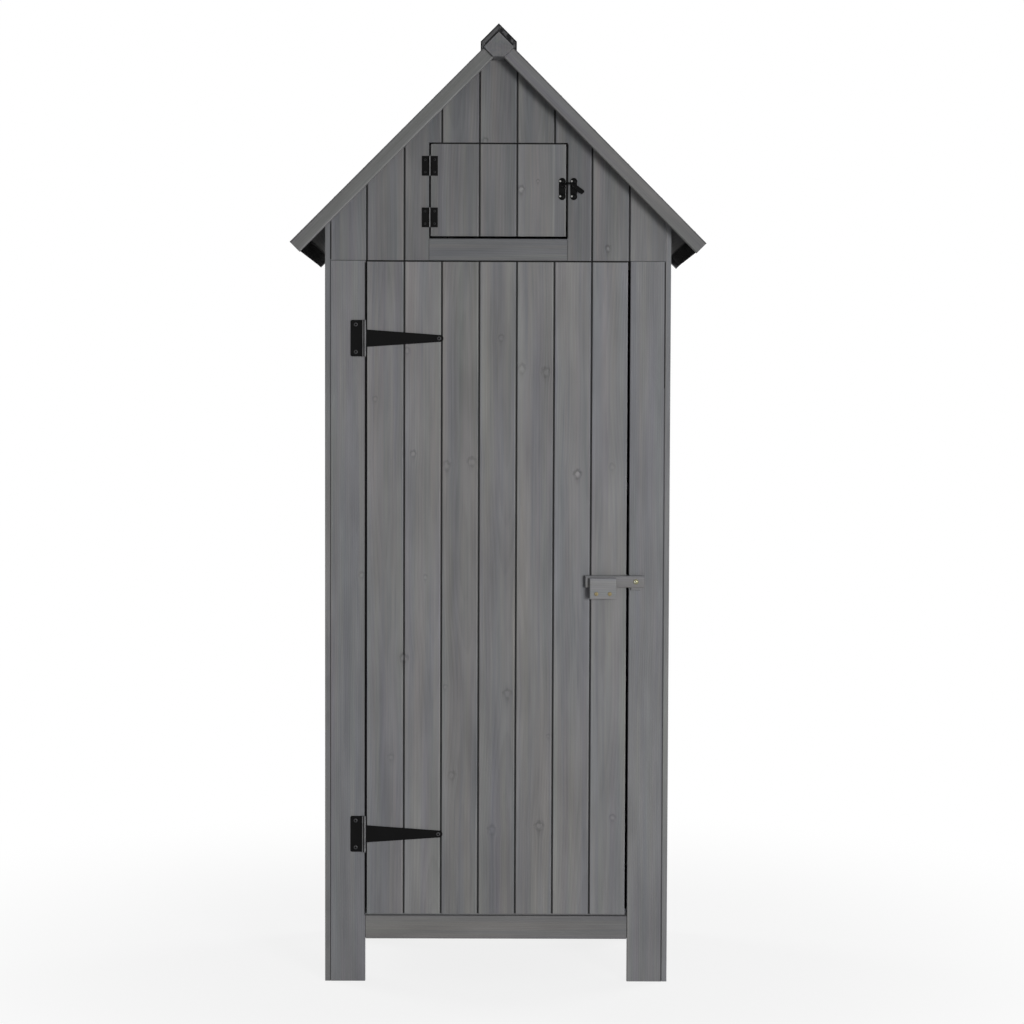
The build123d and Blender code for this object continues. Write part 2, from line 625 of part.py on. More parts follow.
save(screws(PIVOT_SCREW, BAR_FACE + FIT, PIVOT_SCREW_SIZE, PIVOT_SCREW_SHANK, True), "turn_bar_screw")


def screw_clearance(places, face, shank, turning=False):
    """Holes for screw shanks right through a fitting that reaches out from the front to the face."""
    with BuildSketch(FRONT_FACE) as mouths:
        with Locations(*places):
            shank_section(shank + PILOT_FIT, turning)
    extrude(mouths.sketch, amount=face, mode=Mode.SUBTRACT)


def barrel(x, out, low, high, radius):
    """Upright hinge barrel or pin whose axis stands out from the front face, added to the part."""
    with Locations((x, -FRONT - out, low)):
        Cylinder(radius, high - low, align=(Align.CENTER, Align.CENTER, Align.MIN))


def barrel_bore(x, out, low, high, radius):
    """Bore of a hinge barrel, cut right through the open part between two heights."""
    with Locations((x, -FRONT - out, low)):
        Cylinder(radius, high - low, align=(Align.CENTER, Align.CENTER, Align.MIN), mode=Mode.SUBTRACT)


# T-hinges: a plate with two knuckles on the stile, a tapered strap with one between them
for hinge_name, hinge_z in HINGE_HEIGHTS.items():
    plate_low = hinge_z - HINGE_PLATE_HEIGHT / 2
    plate_high = hinge_z + HINGE_PLATE_HEIGHT / 2
    knuckle_half = STRAP_ROOT_HEIGHT / 2
    bore_radius = HINGE_PIN_RADIUS + RUNNING_FIT
    with BuildPart() as hinge_plate:
        with BuildSketch(FRONT_FACE) as plate_outline:
            with Locations((HINGE_X, hinge_z)):
                Rectangle(HINGE_PLATE_WIDTH, HINGE_PLATE_HEIGHT, align=(Align.MAX, Align.CENTER))
            outer_corners = plate_outline.vertices().group_by(Axis.X)[0]
            fillet(outer_corners, HINGE_CORNER)
        extrude(amount=HINGE_SHEET)
        barrel(HINGE_X, HINGE_OUT, plate_low, plate_high, HINGE_BARREL_RADIUS)
        with BuildSketch(FRONT_FACE):
            with Locations((HINGE_X, hinge_z)):
                Rectangle(2 * (HINGE_BARREL_RADIUS + FIT), 2 * (knuckle_half + FIT))
        extrude(amount=HINGE_OUT + HINGE_BARREL_RADIUS, mode=Mode.SUBTRACT)
        barrel_bore(HINGE_X, HINGE_OUT, plate_low, plate_high, bore_radius)
        screw_clearance(HINGE_PLATE_SCREWS, HINGE_SHEET, SCREW_SHANK)
    save(hinge_plate.part, f"{hinge_name}_hinge_plate")

    with BuildPart() as hinge_strap:
        tip_radius = STRAP_TIP_HEIGHT / 2
        with BuildSketch(FRONT_FACE):
            with BuildLine():
                shoulder = STRAP_TIP - tip_radius
                lower_edge = Line((HINGE_X, hinge_z - knuckle_half), (shoulder, hinge_z - tip_radius))
                tip_end = (shoulder, hinge_z + tip_radius)
                tip_arc = ThreePointArc(lower_edge @ 1, (STRAP_TIP, hinge_z), tip_end)
                upper_edge = Line(tip_arc @ 1, (HINGE_X, hinge_z + knuckle_half))
                Line(upper_edge @ 1, lower_edge @ 0)
            make_face()
        extrude(amount=HINGE_SHEET)
        barrel(HINGE_X, HINGE_OUT, hinge_z - knuckle_half, hinge_z + knuckle_half, HINGE_BARREL_RADIUS)
        barrel_bore(HINGE_X, HINGE_OUT, plate_low, plate_high, bore_radius)
        screw_clearance(STRAP_SCREWS, HINGE_SHEET, SCREW_SHANK)
    save(hinge_strap.part, f"{hinge_name}_hinge_strap")

with BuildPart() as hinge_pins:
    for hinge_z in HINGE_HEIGHTS.values():
        half = HINGE_PLATE_HEIGHT / 2
        barrel(HINGE_X, HINGE_OUT, hinge_z - half, hinge_z + half, HINGE_PIN_RADIUS)
save(hinge_pins.part, "hinge_pins")


# Butt hinges of the loft door: three knuckles, the middle one on the leaf
def loft_leaves(side, places):
    """Both leaves of one side: -1 is the jamb with the outer knuckles, 1 the door with the middle one."""
    knuckle = LOFT_LEAF_HEIGHT / 3
    bore_radius = LOFT_PIN_RADIUS + RUNNING_FIT
    reach = LOFT_BARREL_RADIUS + FIT
    with BuildPart() as leaves:
        for height in LOFT_HINGE_HEIGHTS:
            low = height - LOFT_LEAF_HEIGHT / 2
            high = height + LOFT_LEAF_HEIGHT / 2
            leaf_side = Align.MAX if side < 0 else Align.MIN
            with BuildSketch(FRONT_FACE):
                with Locations((LOFT_HINGE_X, height)):
                    Rectangle(LOFT_LEAF_WIDTH, LOFT_LEAF_HEIGHT, align=(leaf_side, Align.CENTER))
            extrude(amount=LOFT_SHEET)
            barrel(LOFT_HINGE_X, LOFT_HINGE_OUT, low, high, LOFT_BARREL_RADIUS)
            with BuildSketch(FRONT_FACE):
                if side < 0:
                    with Locations((LOFT_HINGE_X, height)):
                        Rectangle(2 * reach, knuckle + 2 * FIT)
                else:
                    with Locations((LOFT_HINGE_X, height - knuckle), (LOFT_HINGE_X, height + knuckle)):
                        Rectangle(2 * reach, knuckle)
            extrude(amount=LOFT_HINGE_OUT + LOFT_BARREL_RADIUS, mode=Mode.SUBTRACT)
            barrel_bore(LOFT_HINGE_X, LOFT_HINGE_OUT, low, high, bore_radius)
        screw_clearance(places, LOFT_SHEET, SMALL_SCREW_SHANK)
    return leaves.part


save(loft_leaves(-1, LOFT_JAMB_SCREWS), "loft_hinge_jamb_leaves")
save(loft_leaves(1, LOFT_LEAF_SCREWS), "loft_hinge_door_leaves")

with BuildPart() as loft_hinge_pins:
    for height in LOFT_HINGE_HEIGHTS:
        half = LOFT_LEAF_HEIGHT / 2
        barrel(LOFT_HINGE_X, LOFT_HINGE_OUT, height - half, height + half, LOFT_PIN_RADIUS)
save(loft_hinge_pins.part, "loft_hinge_pins")


# Hook latch of the loft door: two lobed plates, and a hook that swings on the jamb plate
def lobed_plate(x):
    """Outline of a latch plate: a round lobe for each screw, joined by a narrower waist."""
    with BuildSketch(FRONT_FACE) as outline:
        with Locations((x, HOOK_HEIGHT - LOBE_RISE), (x, HOOK_HEIGHT + LOBE_RISE)):
            Circle(LATCH_PLATE_WIDTH / 2)
        with Locations((x, HOOK_HEIGHT)):
            Rectangle(LATCH_PLATE_WAIST, 2 * LOBE_RISE)
    return outline.sketch


def front_stud(x, z, radius, start, end):
    """Round stud square to the front face, between two distances out from it, added to the part."""
    with BuildSketch(FRONT_FACE.offset(start)) as foot:
        with Locations((x, z)):
            Circle(radius)
    extrude(foot.sketch, amount=end - start)


hook_back = LATCH_PLATE_SHEET + HOOK_LIFT
hook_front = hook_back + HOOK_SHEET
with BuildPart() as loft_latch_plate:
    extrude(lobed_plate(LATCH_PLATE_X), amount=LATCH_PLATE_SHEET)
    front_stud(HOOK_PIVOT_X, HOOK_PIVOT_Z, HOOK_HEAD_RADIUS, 0, hook_back - FIT)
    front_stud(HOOK_PIVOT_X, HOOK_PIVOT_Z, HOOK_PIN_RADIUS, 0, hook_front + FIT)
    head_start = hook_front + FIT
    front_stud(HOOK_PIVOT_X, HOOK_PIVOT_Z, HOOK_HEAD_RADIUS, head_start, head_start + HOOK_HEAD_HEIGHT)
    screw_clearance(LATCH_PLATE_SCREWS, LATCH_PLATE_SHEET, SCREW_SHANK)
save(loft_latch_plate.part, "loft_latch_plate")

with BuildPart() as loft_catch_plate:
    extrude(lobed_plate(CATCH_X), amount=LATCH_PLATE_SHEET)
    post_end = LATCH_PLATE_SHEET + CATCH_POST_HEIGHT
    front_stud(CATCH_POST_X, CATCH_POST_Z, CATCH_POST_RADIUS, 0, post_end)
    screw_clearance(CATCH_SCREWS, LATCH_PLATE_SHEET, SCREW_SHANK)
save(loft_catch_plate.part, "loft_catch_plate")

with BuildPart() as loft_hook:
    beak = (CATCH_POST_X + HOOK_BEAK[0], CATCH_POST_Z + HOOK_BEAK[1])
    arch = ((HOOK_PIVOT_X + beak[0]) / 2, HOOK_PIVOT_Z + HOOK_ARCH_RISE)
    thumb = (LATCH_PLATE_X + HOOK_THUMB[0], HOOK_HEIGHT + HOOK_THUMB[1])
    pivot = (HOOK_PIVOT_X, HOOK_PIVOT_Z)
    hook_face = FRONT_FACE.offset(hook_back)
    with BuildSketch(hook_face):
        with Locations(thumb):
            Circle(HOOK_THUMB_RADIUS)
        with Locations(pivot):
            Circle(HOOK_ARM / 2)
        make_hull()
        with Locations(pivot):
            Circle(HOOK_HUB_RADIUS)
        with BuildLine(mode=Mode.PRIVATE) as arm_path:
            ThreePointArc(pivot, arch, beak)
        SlotArc(arm_path.edge(), HOOK_ARM)
        with Locations(pivot):
            Circle(HOOK_PIN_RADIUS + RUNNING_FIT, mode=Mode.SUBTRACT)
    extrude(amount=HOOK_SHEET)
save(loft_hook.part, "loft_hook")


# Turn bar on the right stile, and the keeper on the door that it drops into
def latch_block(low, high, start, end, places, shank, turning=False):
    """Wooden block on the front face with eased outer edges and through holes for its screws."""
    with BuildPart() as block:
        with BuildSketch(FRONT_FACE.offset(start)):
            with Locations(low):
                Rectangle(high[0] - low[0], high[1] - low[1], align=(Align.MIN, Align.MIN))
        extrude(amount=end - start)
        outer_face = block.faces().sort_by(Axis.Y)[0]
        chamfer(outer_face.edges(), length=BAR_EASE)
        screw_clearance(places, end, shank, turning)
    return block.part


BAR_RIGHT = BAR_PIVOT_X + BAR_END
SPACER_TOP = LATCH_HEIGHT + SPACER_HEIGHT / 2 - SPACER_DROP
KEEPER_LEFT = KEEPER_X - KEEPER_WIDTH / 2
KEEPER_RIGHT = KEEPER_X + KEEPER_WIDTH / 2
save(
    latch_block(
        (BAR_PIVOT_X - SPACER_WIDTH / 2, SPACER_TOP - SPACER_HEIGHT),
        (BAR_PIVOT_X + SPACER_WIDTH / 2, SPACER_TOP),
        0,
        SPACER_THICKNESS - FIT,
        PIVOT_SCREW,
        PIVOT_SCREW_SHANK,
        True,
    ),
    "turn_bar_spacer",
)
save(
    latch_block(
        (BAR_RIGHT - BAR_LENGTH, BAR_BOTTOM),
        (BAR_RIGHT, BAR_BOTTOM + BAR_HEIGHT),
        SPACER_THICKNESS,
        BAR_FACE,
        PIVOT_SCREW,
        PIVOT_SCREW_SHANK,
        True,
    ),
    "turn_bar",
)
save(
    latch_block(
        (KEEPER_LEFT, KEEPER_BOTTOM),
        (KEEPER_RIGHT, KEEPER_SEAT_TOP),
        0,
        KEEPER_SEAT_THICKNESS,
        KEEPER_SCREWS,
        SCREW_SHANK,
    ),
    "keeper_seat",
)
save(
    latch_block(
        (KEEPER_LEFT, KEEPER_BOTTOM),
        (KEEPER_RIGHT, KEEPER_SEAT_TOP + KEEPER_LIP),
        KEEPER_SEAT_THICKNESS,
        KEEPER_FACE,
        KEEPER_SCREWS,
        SCREW_SHANK,
    ),
    "keeper_plate",
)


# Door leaves: upright boards held together by ledges across their backs
def leaf_boards(left, right, bottom, top, screw_sets):
    """Boards of a door leaf between its four edges, with pilot holes for what is screwed on."""
    lines = board_lines(left - JOINT, right + JOINT, BOARD_PITCH / 2)
    with BuildPart() as boards:
        for index in range(len(lines) - 1):
            extrude(board_section(FRONT_WALL.offset(bottom), lines, index), amount=top - bottom)
        for places, shank in screw_sets:
            pilot_holes(places, shank)
    return boards.part


def ledges(left, right, heights, height, thickness):
    """Ledges across the back of a leaf at the heights of their middles, with bevelled inner edges."""
    with BuildPart() as group:
        for middle in heights:
            low = (left, -WALL_HALF_DEPTH, middle - height / 2)
            beam(low, (right, -WALL_HALF_DEPTH + thickness, middle + height / 2))
        inner_faces = group.faces().group_by(Axis.Y)[-1]
        chamfer(inner_faces.edges(), length=LEDGE_CHAMFER)
    return group.part


door_screws = [(STRAP_SCREWS, SCREW_SHANK), (KEEPER_SCREWS, SCREW_SHANK)]
save(leaf_boards(DOOR_LEFT, DOOR_RIGHT, DOOR_BOTTOM, DOOR_TOP, door_screws), "door_boards")
ledge_heights = {
    "door_ledge_bottom": HINGE_HEIGHTS["lower"],
    "door_ledge_middle": LATCH_HEIGHT,
    "door_ledge_top": HINGE_HEIGHTS["upper"],
}
for ledge_name, ledge_middle in ledge_heights.items():
    ledge_left = DOOR_LEFT + LEDGE_INSET
    ledge_right = DOOR_RIGHT - LEDGE_INSET
    save(ledges(ledge_left, ledge_right, [ledge_middle], LEDGE_HEIGHT, LEDGE_THICKNESS), ledge_name)

loft_screws = [(LOFT_LEAF_SCREWS, SMALL_SCREW_SHANK), (CATCH_SCREWS, SCREW_SHANK)]
save(
    leaf_boards(-LOFT_LEAF_HALF, LOFT_LEAF_HALF, LOFT_LEAF_BOTTOM, LOFT_LEAF_TOP, loft_screws),
    "loft_door_boards",
)
loft_ledge_half = LOFT_LEAF_HALF - LEDGE_INSET
save(
    ledges(-loft_ledge_half, loft_ledge_half, LOFT_HINGE_HEIGHTS, LOFT_LEDGE_HEIGHT, LOFT_LEDGE_THICKNESS),
    "loft_door_ledges",
)
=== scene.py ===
import math

import bpy
import numpy as np
from mathutils import Matrix, Vector


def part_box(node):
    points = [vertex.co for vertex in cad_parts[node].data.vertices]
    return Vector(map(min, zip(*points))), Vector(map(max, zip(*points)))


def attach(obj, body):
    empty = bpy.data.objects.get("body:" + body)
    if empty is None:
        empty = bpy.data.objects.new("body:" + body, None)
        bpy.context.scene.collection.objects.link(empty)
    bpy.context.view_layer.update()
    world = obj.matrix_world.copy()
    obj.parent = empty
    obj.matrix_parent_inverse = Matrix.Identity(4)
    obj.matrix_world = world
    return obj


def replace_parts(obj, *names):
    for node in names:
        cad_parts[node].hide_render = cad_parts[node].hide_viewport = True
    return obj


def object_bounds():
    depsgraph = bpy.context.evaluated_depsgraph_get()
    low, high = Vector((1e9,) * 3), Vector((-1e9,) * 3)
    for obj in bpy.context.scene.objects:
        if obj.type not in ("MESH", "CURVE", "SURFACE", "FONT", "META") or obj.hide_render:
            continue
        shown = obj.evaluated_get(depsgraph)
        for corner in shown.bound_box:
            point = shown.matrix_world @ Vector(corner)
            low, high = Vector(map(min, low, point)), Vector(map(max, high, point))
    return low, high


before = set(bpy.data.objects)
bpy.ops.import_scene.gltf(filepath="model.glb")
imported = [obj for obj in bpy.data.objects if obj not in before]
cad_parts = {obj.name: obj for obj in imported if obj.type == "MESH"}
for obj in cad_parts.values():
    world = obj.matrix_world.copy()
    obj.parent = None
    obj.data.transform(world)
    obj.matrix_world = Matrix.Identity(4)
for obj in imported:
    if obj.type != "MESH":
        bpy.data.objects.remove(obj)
cad_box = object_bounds()

# Corner posts, beams and plates: planed fir of 28 mm and more, dipped in a thin grey stain that lets
# the grain show. The posts stand on the ground and carry everything, and the beams and plates are
# screwed between them out of sight.
X_AXIS = Vector((1, 0, 0))
Y_AXIS = Vector((0, 1, 0))
Z_AXIS = Vector((0, 0, 1))
COOL_GREY = (0.147, 0.150, 0.160, 1)
WARM_GREY = (0.164, 0.161, 0.158, 1)


def feed(tree, node, feeds):
    """Gives a node's inputs sockets or plain values."""
    for key, value in feeds.items():
        if isinstance(value, bpy.types.NodeSocket):
            tree.links.new(value, node.inputs[key])
        else:
            node.inputs[key].default_value = value


def add(tree, kind, feeds, output=0, **settings):
    """Adds a node with its settings and feeds, and returns an output socket."""
    node = tree.nodes.new(kind)
    for name, value in settings.items():
        setattr(node, name, value)
    feed(tree, node, feeds)
    return node.outputs[output]


def calc(tree, operation, *values):
    """One step of arithmetic on sockets or plain numbers."""
    return add(tree, "ShaderNodeMath", dict(enumerate(values)), operation=operation)


def product(tree, first, *others):
    """Product of sockets or plain numbers."""
    for value in others:
        first = calc(tree, "MULTIPLY", first, value)
    return first


def ease(tree, value, start, end):
    """Smooth step from 0 at the start to 1 at the end, which may lie below the start."""
    feeds = {0: value, 1: start, 2: end}
    return add(tree, "ShaderNodeMapRange", feeds, interpolation_type="SMOOTHSTEP")


def noise(tree, place, stretch, detail, output=0):
    """Noise about 0.5 with so many waves per metre along each axis."""
    scaled = add(tree, "ShaderNodeVectorMath", {0: place, 1: stretch}, operation="MULTIPLY")
    return add(tree, "ShaderNodeTexNoise", {"Vector": scaled, "Scale": 1.0, "Detail": detail}, output)


def blend(tree, factor, first, second):
    """Mix of two colours."""
    return add(tree, "ShaderNodeMix", {0: factor, 6: first, 7: second}, 2, data_type="RGBA")


def brighten(tree, colour, factor):
    """A colour times a factor."""
    return add(tree, "ShaderNodeVectorMath", {0: colour, "Scale": factor}, operation="SCALE")


def shaded(tree, light, mask, strength):
    """A brightness that loses this share of itself where the mask is 1, or gains it below 0."""
    return calc(tree, "MULTIPLY", light, calc(tree, "MULTIPLY_ADD", mask, -strength, 1.0))


def relief(tree, height, strength, distance):
    """Normal of a surface with a fine relief."""
    feeds = {"Height": height, "Strength": strength, "Distance": distance}
    return add(tree, "ShaderNodeBump", feeds, "Normal")


def new_group(name, inputs, outputs):
    """Empty shader group with named sockets: its tree, the sockets it is given, the ones it makes."""
    tree = bpy.data.node_groups.new(name, "ShaderNodeTree")
    for label, kind in inputs.items():
        tree.interface.new_socket(label, in_out="INPUT", socket_type=f"NodeSocket{kind}")
    for label, kind in outputs.items():
        tree.interface.new_socket(label, in_out="OUTPUT", socket_type=f"NodeSocket{kind}")
    given = tree.nodes.new("NodeGroupInput").outputs
    made = tree.nodes.new("NodeGroupOutput").inputs
    return tree, given, made


def new_material(name):
    """Empty material: itself, its node tree, its shader and the place on the object."""
    material = bpy.data.materials.new(name)
    material.use_nodes = True
    tree = material.node_tree
    return material, tree, tree.nodes["Principled BSDF"], add(tree, "ShaderNodeTexCoord", {}, "Object")


def fir_group():
    """Stained fir. Place is metres across, into and along a board. Growth rings are distances from a
    pith whose depth wanders along the board, so that they run as lines and long arches. Streaks
    and threads lean to a cool or a warm grey, and each board number draws its own tone."""
    inputs = {"Place": "Vector", "Board": "Float", "Seed": "Float"}
    inputs |= {"Cool": "Color", "Warm": "Color", "Spread": "Float"}
    tree, given, made = new_group("stained fir", inputs, {"Color": "Color", "Height": "Float"})
    key = add(tree, "ShaderNodeCombineXYZ", {0: given["Board"], 1: given["Seed"]})
    chance = add(tree, "ShaderNodeTexWhiteNoise", {"Vector": key}, "Color")
    luck = add(tree, "ShaderNodeSeparateXYZ", {0: chance}).node.outputs
    far = add(tree, "ShaderNodeVectorMath", {0: chance, "Scale": 9.0}, operation="SCALE")
    place = add(tree, "ShaderNodeVectorMath", {0: given["Place"], 1: far}, operation="ADD")
    streak = noise(tree, place, (42, 42, 1.5), 3)
    thread = noise(tree, place, (240, 240, 2.4), 2)
    patch = noise(tree, place, (34, 34, 6), 2)
    fibre = noise(tree, place, (800, 800, 11), 2)
    hue = noise(tree, place, (75, 75, 1.9), 2, "Color")
    wander = noise(tree, place, (0, 0, 1.6), 1)
    sink = noise(tree, place, (0, 0, 1.1), 1)
    across = add(tree, "ShaderNodeSeparateXYZ", {0: given["Place"]})
    pith = calc(tree, "MULTIPLY_ADD", luck[0], 0.06, calc(tree, "MULTIPLY_ADD", wander, 0.05, -0.055))
    aside = calc(tree, "SUBTRACT", across, pith)
    below = calc(tree, "MULTIPLY_ADD", sink, 0.07, -0.008)
    square = calc(tree, "MULTIPLY_ADD", aside, aside, calc(tree, "MULTIPLY", below, below))
    reach = calc(tree, "MULTIPLY_ADD", calc(tree, "SQRT", square), 240, calc(tree, "MULTIPLY", fibre, 0.25))
    ring = calc(tree, "FRACT", reach)
    late = product(tree, ease(tree, ring, 0.2, 0.85), ease(tree, ring, 1.0, 0.88))
    lean = calc(tree, "MULTIPLY_ADD", luck[1], 0.5, -1.25)
    for value, share in ((streak, 2.0), (thread, 1.0)):
        lean = calc(tree, "MULTIPLY_ADD", value, share, lean)
    tint = blend(tree, ease(tree, lean, 0.0, 1.0), given["Cool"], given["Warm"])
    tone = calc(tree, "MULTIPLY_ADD", calc(tree, "SUBTRACT", luck[2], 0.5), given["Spread"], 0.33)
    for value, share in ((patch, 0.58), (streak, 0.36), (thread, 0.20), (fibre, 0.22), (late, -0.08)):
        tone = calc(tree, "MULTIPLY_ADD", value, share, tone)
    swing = {0: hue, 1: (0.11,) * 3, 2: (0.945,) * 3}
    cast = add(tree, "ShaderNodeVectorMath", swing, operation="MULTIPLY_ADD")
    tinted = add(tree, "ShaderNodeVectorMath", {0: tint, 1: cast}, operation="MULTIPLY")
    tree.links.new(brighten(tree, tinted, tone), made["Color"])
    tree.links.new(calc(tree, "MULTIPLY_ADD", late, 0.5, fibre), made["Height"])
    return tree


def knot_group():
    """A small knot: grain lines are pushed aside round it, a dark arc stands over a pale heart, weaker
    round its lower half, and a dark wedge runs down from it. Wobble makes its outline uneven."""
    labels = ("Across", "Along", "Middle Across", "Middle Along", "Size", "Wobble")
    outputs = {"Shift": "Float", "Ring": "Float", "Heart": "Float"}
    tree, given, made = new_group("knot", {label: "Float" for label in labels}, outputs)
    aside = calc(tree, "SUBTRACT", given["Across"], given["Middle Across"])
    ahead = calc(tree, "MULTIPLY", calc(tree, "SUBTRACT", given["Along"], given["Middle Along"]), 0.85)
    width = calc(tree, "MULTIPLY", aside, aside)
    square = calc(tree, "MULTIPLY_ADD", ahead, ahead, width)
    area = calc(tree, "MULTIPLY", given["Size"], given["Size"])
    near = calc(tree, "DIVIDE", area, calc(tree, "ADD", square, area))
    reach = calc(tree, "DIVIDE", calc(tree, "SQRT", square), given["Size"])
    uneven = calc(tree, "MULTIPLY_ADD", given["Wobble"], 1.1, calc(tree, "SUBTRACT", reach, 0.55))
    rim = product(tree, ease(tree, uneven, 0.35, 0.90), ease(tree, uneven, 1.6, 0.90))
    height = calc(tree, "DIVIDE", ahead, given["Size"])
    arc = calc(tree, "MULTIPLY", rim, calc(tree, "MULTIPLY_ADD", ease(tree, height, -0.6, 0.6), 0.6, 0.4))
    drawn = calc(tree, "MULTIPLY_ADD", calc(tree, "MULTIPLY", ahead, 0.09), ahead, width)
    wedge = ease(tree, calc(tree, "DIVIDE", calc(tree, "SQRT", drawn), given["Size"]), 1.1, 0.2)
    tail = calc(tree, "MULTIPLY", wedge, ease(tree, height, -0.3, -1.1))
    tree.links.new(calc(tree, "MULTIPLY", aside, near), made["Shift"])
    tree.links.new(calc(tree, "MULTIPLY_ADD", tail, 0.60, arc), made["Ring"])
    tree.links.new(ease(tree, uneven, 0.8, 0.2), made["Heart"])
    return tree


FIR = fir_group()
KNOT = knot_group()
KNOT_SPACING = 0.42
# Edge marks: a paler band towards a board's left edge, a painted highlight at its right edge, and painted
# highlights on the edges of a beam's end.
LEFT_PALE = (0.019, 0.003)
RIGHT_HIGHLIGHT = (0.0046, 0.0030)
RIM_HIGHLIGHT = (0.0026, 0.0008)
# Painted shadow in the grooves between boards: its depths and widths.
GROOVE_MOUTH = (0.0006, 0.0020)
GROOVE_FLOOR = (0.0094, 0.0086)
GROOVE_CORE = (0.0018, 0.0006)
GROOVE_WALL = (0.0075, 0.0055)
SEAM_FADE = 0.003
SKIN = 0.0004


def board_places(tree, across, pitch, phase, limit):
    """Number of the board at a place, the same beyond the limit, the distance from its middle to the
    place, and from there to its edge."""
    within = calc(tree, "MINIMUM", calc(tree, "MAXIMUM", across, -limit), limit)
    board = calc(tree, "FLOOR", calc(tree, "MULTIPLY_ADD", within, 1 / pitch, -phase / pitch))
    middle = calc(tree, "MULTIPLY_ADD", board, pitch, phase + pitch / 2)
    aside = calc(tree, "SUBTRACT", across, middle)
    return board, aside, calc(tree, "SUBTRACT", pitch / 2, calc(tree, "ABSOLUTE", aside))


def pale_edge_light(tree, aside, edge, pitch):
    """Brightness of a board, paler towards its edges and most in a painted highlight at the right edge."""
    inside = calc(tree, "GREATER_THAN", edge, 0.0)
    from_left = calc(tree, "ADD", aside, pitch / 2)
    from_right = calc(tree, "SUBTRACT", pitch / 2, aside)
    light = 0.98
    for gap, wear, gain in ((from_right, RIGHT_HIGHLIGHT, 0.24), (from_left, LEFT_PALE, 0.13)):
        pale_mask = product(tree, ease(tree, gap, *wear), inside)
        light = calc(tree, "MULTIPLY_ADD", pale_mask, gain, light)
    return light


def line_mask(tree, value, place, half):
    """Thin line with soft sides about a place, of a half width."""
    away = calc(tree, "ABSOLUTE", calc(tree, "SUBTRACT", value, place))
    return ease(tree, away, 1.4 * half, 0.6 * half)


def groove_shadow_mask(tree, across, edge, below, limit):
    """Painted shadow in the joint of two boards, by the distance from their edge and the depth below their
    face: darkest in the middle, from the mouth down to the tongue, as far out as the limit."""
    deep = product(tree, ease(tree, below, *GROOVE_MOUTH), ease(tree, below, *GROOVE_FLOOR))
    beside = calc(tree, "ABSOLUTE", edge)
    core = calc(tree, "MULTIPLY_ADD", ease(tree, beside, *GROOVE_CORE), 0.35, 0.65)
    within = ease(tree, calc(tree, "ABSOLUTE", across), limit, limit - 0.001)
    return product(tree, deep, core, ease(tree, beside, *GROOVE_WALL), within)


def loose_knot(tree, across, length, seed, pitch, phase):
    """Middle and size of the knot nearest to a place, one by chance in each spacing of each board."""
    from_edge = calc(tree, "SUBTRACT", across, phase)
    flat = add(tree, "ShaderNodeCombineXYZ", {0: from_edge, 1: length, 2: seed})
    stretch = (1 / pitch, 1 / KNOT_SPACING, 1)
    cells = add(tree, "ShaderNodeVectorMath", {0: flat, 1: stretch}, operation="MULTIPLY")
    feeds = {"Vector": cells, "Scale": 1.0, "Randomness": 0.85}
    cell = add(tree, "ShaderNodeTexVoronoi", feeds).node.outputs
    point = add(tree, "ShaderNodeSeparateXYZ", {0: cell["Position"]}).node.outputs
    chance = add(tree, "ShaderNodeSeparateXYZ", {0: cell["Color"]})
    return {
        "Middle Across": calc(tree, "MULTIPLY_ADD", point[0], pitch, phase),
        "Middle Along": calc(tree, "MULTIPLY", point[1], KNOT_SPACING),
        "Size": calc(tree, "MULTIPLY_ADD", chance, 0.007, 0.0005),
    }


